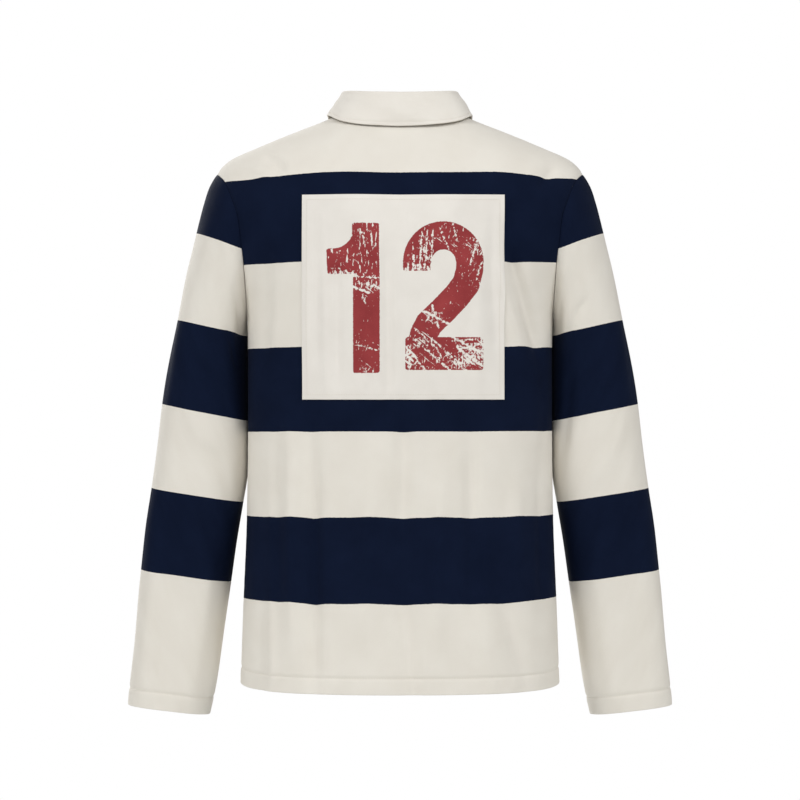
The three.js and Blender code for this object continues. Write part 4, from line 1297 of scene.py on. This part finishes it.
def make_button_mesh():
    """A moulded button with a raised rim and four holes, facing +Z and standing on z = 0."""
    dish = BUTTON_RADIUS - 1.6
    profile = [
        (0, 0), (BUTTON_RADIUS - 0.8, 0), (BUTTON_RADIUS - 0.25, 0.3), (BUTTON_RADIUS, 0.9),
        (BUTTON_RADIUS, BUTTON_THICK - 0.9), (BUTTON_RADIUS - 0.2, BUTTON_THICK - 0.3),
        (BUTTON_RADIUS - 0.7, BUTTON_THICK), (dish + 0.2, BUTTON_THICK),
        (dish - 0.3, BUTTON_THICK - 0.25), (dish - 0.7, BUTTON_THICK - 0.8), (0, BUTTON_THICK - 0.8),
    ]
    work = bmesh.new()
    steps = 48
    rings = []
    for r, z in profile:
        if r == 0:
            rings.append([work.verts.new((0, 0, z))])
        else:
            angles = [2 * math.pi * k / steps for k in range(steps)]
            rings.append([work.verts.new((r * math.cos(a), r * math.sin(a), z)) for a in angles])
    for a, b in zip(rings, rings[1:]):
        for k in range(steps):
            m = (k + 1) % steps
            if len(a) == 1:
                work.faces.new((a[0], b[m], b[k]))
            elif len(b) == 1:
                work.faces.new((a[k], a[m], b[0]))
            else:
                work.faces.new((a[k], a[m], b[m], b[k]))
    body = bpy.data.meshes.new("button_body")
    work.to_mesh(body)
    work.free()
    tool = bmesh.new()
    for x, y in ((1.3, 1.3), (-1.3, 1.3), (-1.3, -1.3), (1.3, -1.3)):
        ring = bmesh.ops.create_cone(
            tool, cap_ends=True, segments=16, radius1=0.65, radius2=0.65, depth=8
        )["verts"]
        bmesh.ops.translate(tool, verts=ring, vec=(x, y, 2))
    holes = bpy.data.meshes.new("button_holes")
    tool.to_mesh(holes)
    tool.free()
    solid = bpy.data.objects.new("button_body", body)
    cutter = bpy.data.objects.new("button_holes", holes)
    for o in (solid, cutter):
        bpy.context.scene.collection.objects.link(o)
    cut = solid.modifiers.new("holes", "BOOLEAN")
    cut.object = cutter
    cut.solver = "EXACT"
    bpy.context.view_layer.update()
    graph = bpy.context.evaluated_depsgraph_get()
    result = bpy.data.meshes.new_from_object(solid.evaluated_get(graph))
    vertices = np.array([v.co[:] for v in result.vertices])
    faces = [tuple(p.vertices) for p in result.polygons]
    for o in (solid, cutter):
        bpy.data.objects.remove(o)
    return vertices, faces


def make_buttons(sewing):
    """Three buttons on the placket, with thread through their holes and buttonholes beside."""
    vertices, faces = make_button_mesh()
    made = []
    for number, level in enumerate(BUTTON_LEVELS, 1):
        at, facing = panel_surface(-1, np.array([0.0]), np.array([float(level)]), SEAM + TRIM + 0.9)
        at, facing = at[0], facing[0]
        right = np.array([1.0, 0.0, 0.0])
        up = np.cross(facing, right)
        turn = math.radians(17 * number)
        a = right * math.cos(turn) + up * math.sin(turn)
        b = np.cross(facing, a)
        placed = at + vertices[:, :1] * a + vertices[:, 1:2] * b + vertices[:, 2:] * facing
        corners = [(vertices[v, 0] * MM, vertices[v, 1] * MM) for face in faces for v in face]
        button = new_object(f"rubber_button_{number}", placed, faces, rubber, {"cloth": corners})
        button.data.set_sharp_from_angle(angle=math.radians(40))
        made.append(button)
        top = BUTTON_THICK - 0.8
        for x0, y0, x1, y1 in ((1.3, 1.3, -1.3, -1.3), (-1.3, 1.3, 1.3, -1.3)):
            for shift in (-0.22, 0.22):
                ends = [at + a * (x0 + shift) + b * y0 + facing * top, at + a * (x1 + shift) + b * y1 + facing * top]
                sewing.sew(ends, [facing, facing], pitch=3.0, length=3.7, radius=0.26, lift=0.3)
        # An upright buttonhole, seen above and below the button
        angles = np.linspace(0, 2 * math.pi, 60)
        hx = np.sign(np.sin(angles)) * 1.5 * np.abs(np.sin(angles)) ** 0.6
        hz = level + 9.5 * np.cos(angles)
        ring, ring_facing = panel_surface(-1, hx, hz, SEAM + TRIM)
        sewing.sew(ring, ring_facing, pitch=0.9, length=1.1, radius=0.32, lift=0.05)
    return made


back, back_hem = make_panel("back_jersey", 1)
front, front_hem = make_panel("front_jersey", -1)
sleeve_left, cuff_left = make_sleeve("sleeve_left_jersey", "left")
sleeve_right, cuff_right = make_sleeve("sleeve_right_jersey", "right")
collar, collar_lines = make_collar()
patch, patch_lines = make_patch()
over, under, placket_lines = make_placket()

hem_sewing, cuff_sewing = Thread(), Thread()
collar_sewing, patch_sewing, placket_sewing = Thread(), Thread(), Thread()
for points, facing in (back_hem, front_hem):
    hem_sewing.sew(points, facing)
for points, facing in (cuff_left, cuff_right):
    cuff_sewing.sew(points, facing)
for points, facing in collar_lines:
    collar_sewing.sew(points, facing, pitch=3.0, length=2.4)
for points, facing in patch_lines:
    patch_sewing.sew(points, facing, pitch=3.0, length=2.4)
for points, facing in placket_lines:
    placket_sewing.sew(points, facing, pitch=2.8, length=2.2, radius=0.26)
button_sewing = Thread()
buttons = make_buttons(button_sewing)

hem_thread = hem_sewing.object("thread_hem", thread)
cuff_thread = cuff_sewing.object("thread_cuffs", thread)
collar_thread = collar_sewing.object("thread_collar", thread)
patch_thread = patch_sewing.object("thread_patch", thread)
placket_thread = placket_sewing.object("thread_placket", thread)
button_thread = button_sewing.object("thread_buttons", thread)

for made, name, cloth_slot in (
    (back, "back_panel", "hooped_jersey"),
    (front, "front_panel", "hooped_jersey"),
    (sleeve_left, "sleeve_left", "hooped_jersey"),
    (sleeve_right, "sleeve_right", "hooped_jersey"),
    (collar, "collar", "cream_twill"),
    (patch, "number_patch", "patch_cotton"),
    (over, "placket_over", "cream_twill"),
    (under, "placket_under", "cream_twill"),
    (buttons[0], "button_1", "button_rubber"),
    (buttons[1], "button_2", "button_rubber"),
    (buttons[2], "button_3", "button_rubber"),
):
    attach(made, "root")
    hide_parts(name)
for made in (hem_thread, cuff_thread, collar_thread, patch_thread, placket_thread, button_thread):
    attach(made, "root")

# The stage: a plain pale floor, two large soft lights on the camera's side and a pale surround
STAGE_FLOOR_Z = -1.05
floor_mesh = bpy.data.meshes.new("stage_floor")
floor_mesh.from_pydata(
    [(-1.4, -1.4, STAGE_FLOOR_Z), (1.4, -1.4, STAGE_FLOOR_Z), (1.4, 1.4, STAGE_FLOOR_Z), (-1.4, 1.4, STAGE_FLOOR_Z)],
    [],
    [(0, 1, 2, 3)],
)
floor = bpy.data.objects.new("stage_floor", floor_mesh)
bpy.context.scene.collection.objects.link(floor)
floor_paint = bpy.data.materials.new("studio_floor_pale")
floor_paint.use_nodes = True
floor_tree = floor_paint.node_tree
floor_shader = floor_tree.nodes["Principled BSDF"]
floor_shader.inputs["Roughness"].default_value = 0.9
floor_place = node(floor_tree, "ShaderNodeTexCoord").outputs["Object"]
floor_tree.links.new(
    mix(floor_tree, noise(floor_tree, floor_place, 3.0), colour("#e6e6e4"), colour("#ededeb")),
    floor_shader.inputs["Base Color"],
)
floor_mesh.materials.append(floor_paint)


def soft_light(name, place, size, power):
    data = bpy.data.lights.new(name, "AREA")
    data.shape = "SQUARE"
    data.size = size
    data.energy = power
    made = bpy.data.objects.new(name, data)
    made.location = place
    aim = Vector((0, 0, -0.36)) - Vector(place)
    made.rotation_euler = aim.to_track_quat("-Z", "Y").to_euler()
    bpy.context.scene.collection.objects.link(made)


soft_light("softbox_key", (2.4, 2.2, 1.7), 1.1, 47)
soft_light("softbox_fill", (-2.3, 2.1, 1.9), 1.5, 50)
soft_light("softbox_camera", (0.3, 4.6, 0.9), 1.6, 40)
soft_light("softbox_front", (1.6, -2.8, 0.8), 1.8, 78)

world = bpy.data.worlds.new("studio_surround")
bpy.context.scene.world = world
world.use_nodes = True
air = world.node_tree
surround = air.nodes["Background"]
surround.inputs["Color"].default_value = (1.0, 1.0, 1.0, 1.0)
surround.inputs["Strength"].default_value = 0.38
seen = node(air, "ShaderNodeBackground", {"Color": (1.0, 1.0, 1.0, 1.0), "Strength": 1.0})
path = node(air, "ShaderNodeLightPath")
blend = node(air, "ShaderNodeMixShader", {"Fac": path.outputs["Is Camera Ray"]})
air.links.new(surround.outputs[0], blend.inputs[1])
air.links.new(seen.outputs[0], blend.inputs[2])
air.links.new(blend.outputs[0], air.nodes["World Output"].inputs["Surface"])

# The photo's camera: level, behind the shirt, with a long lens
camera_data = bpy.data.cameras.new("camera")
camera_data.lens = 144
camera_data.sensor_width = 36
camera = bpy.data.objects.new("camera", camera_data)
camera.location = (0, 4.0, -0.3525)
camera.rotation_euler = (math.radians(90), 0, math.radians(180))
bpy.context.scene.collection.objects.link(camera)
bpy.context.scene.camera = camera
bpy.context.scene.view_settings.view_transform = "Standard"
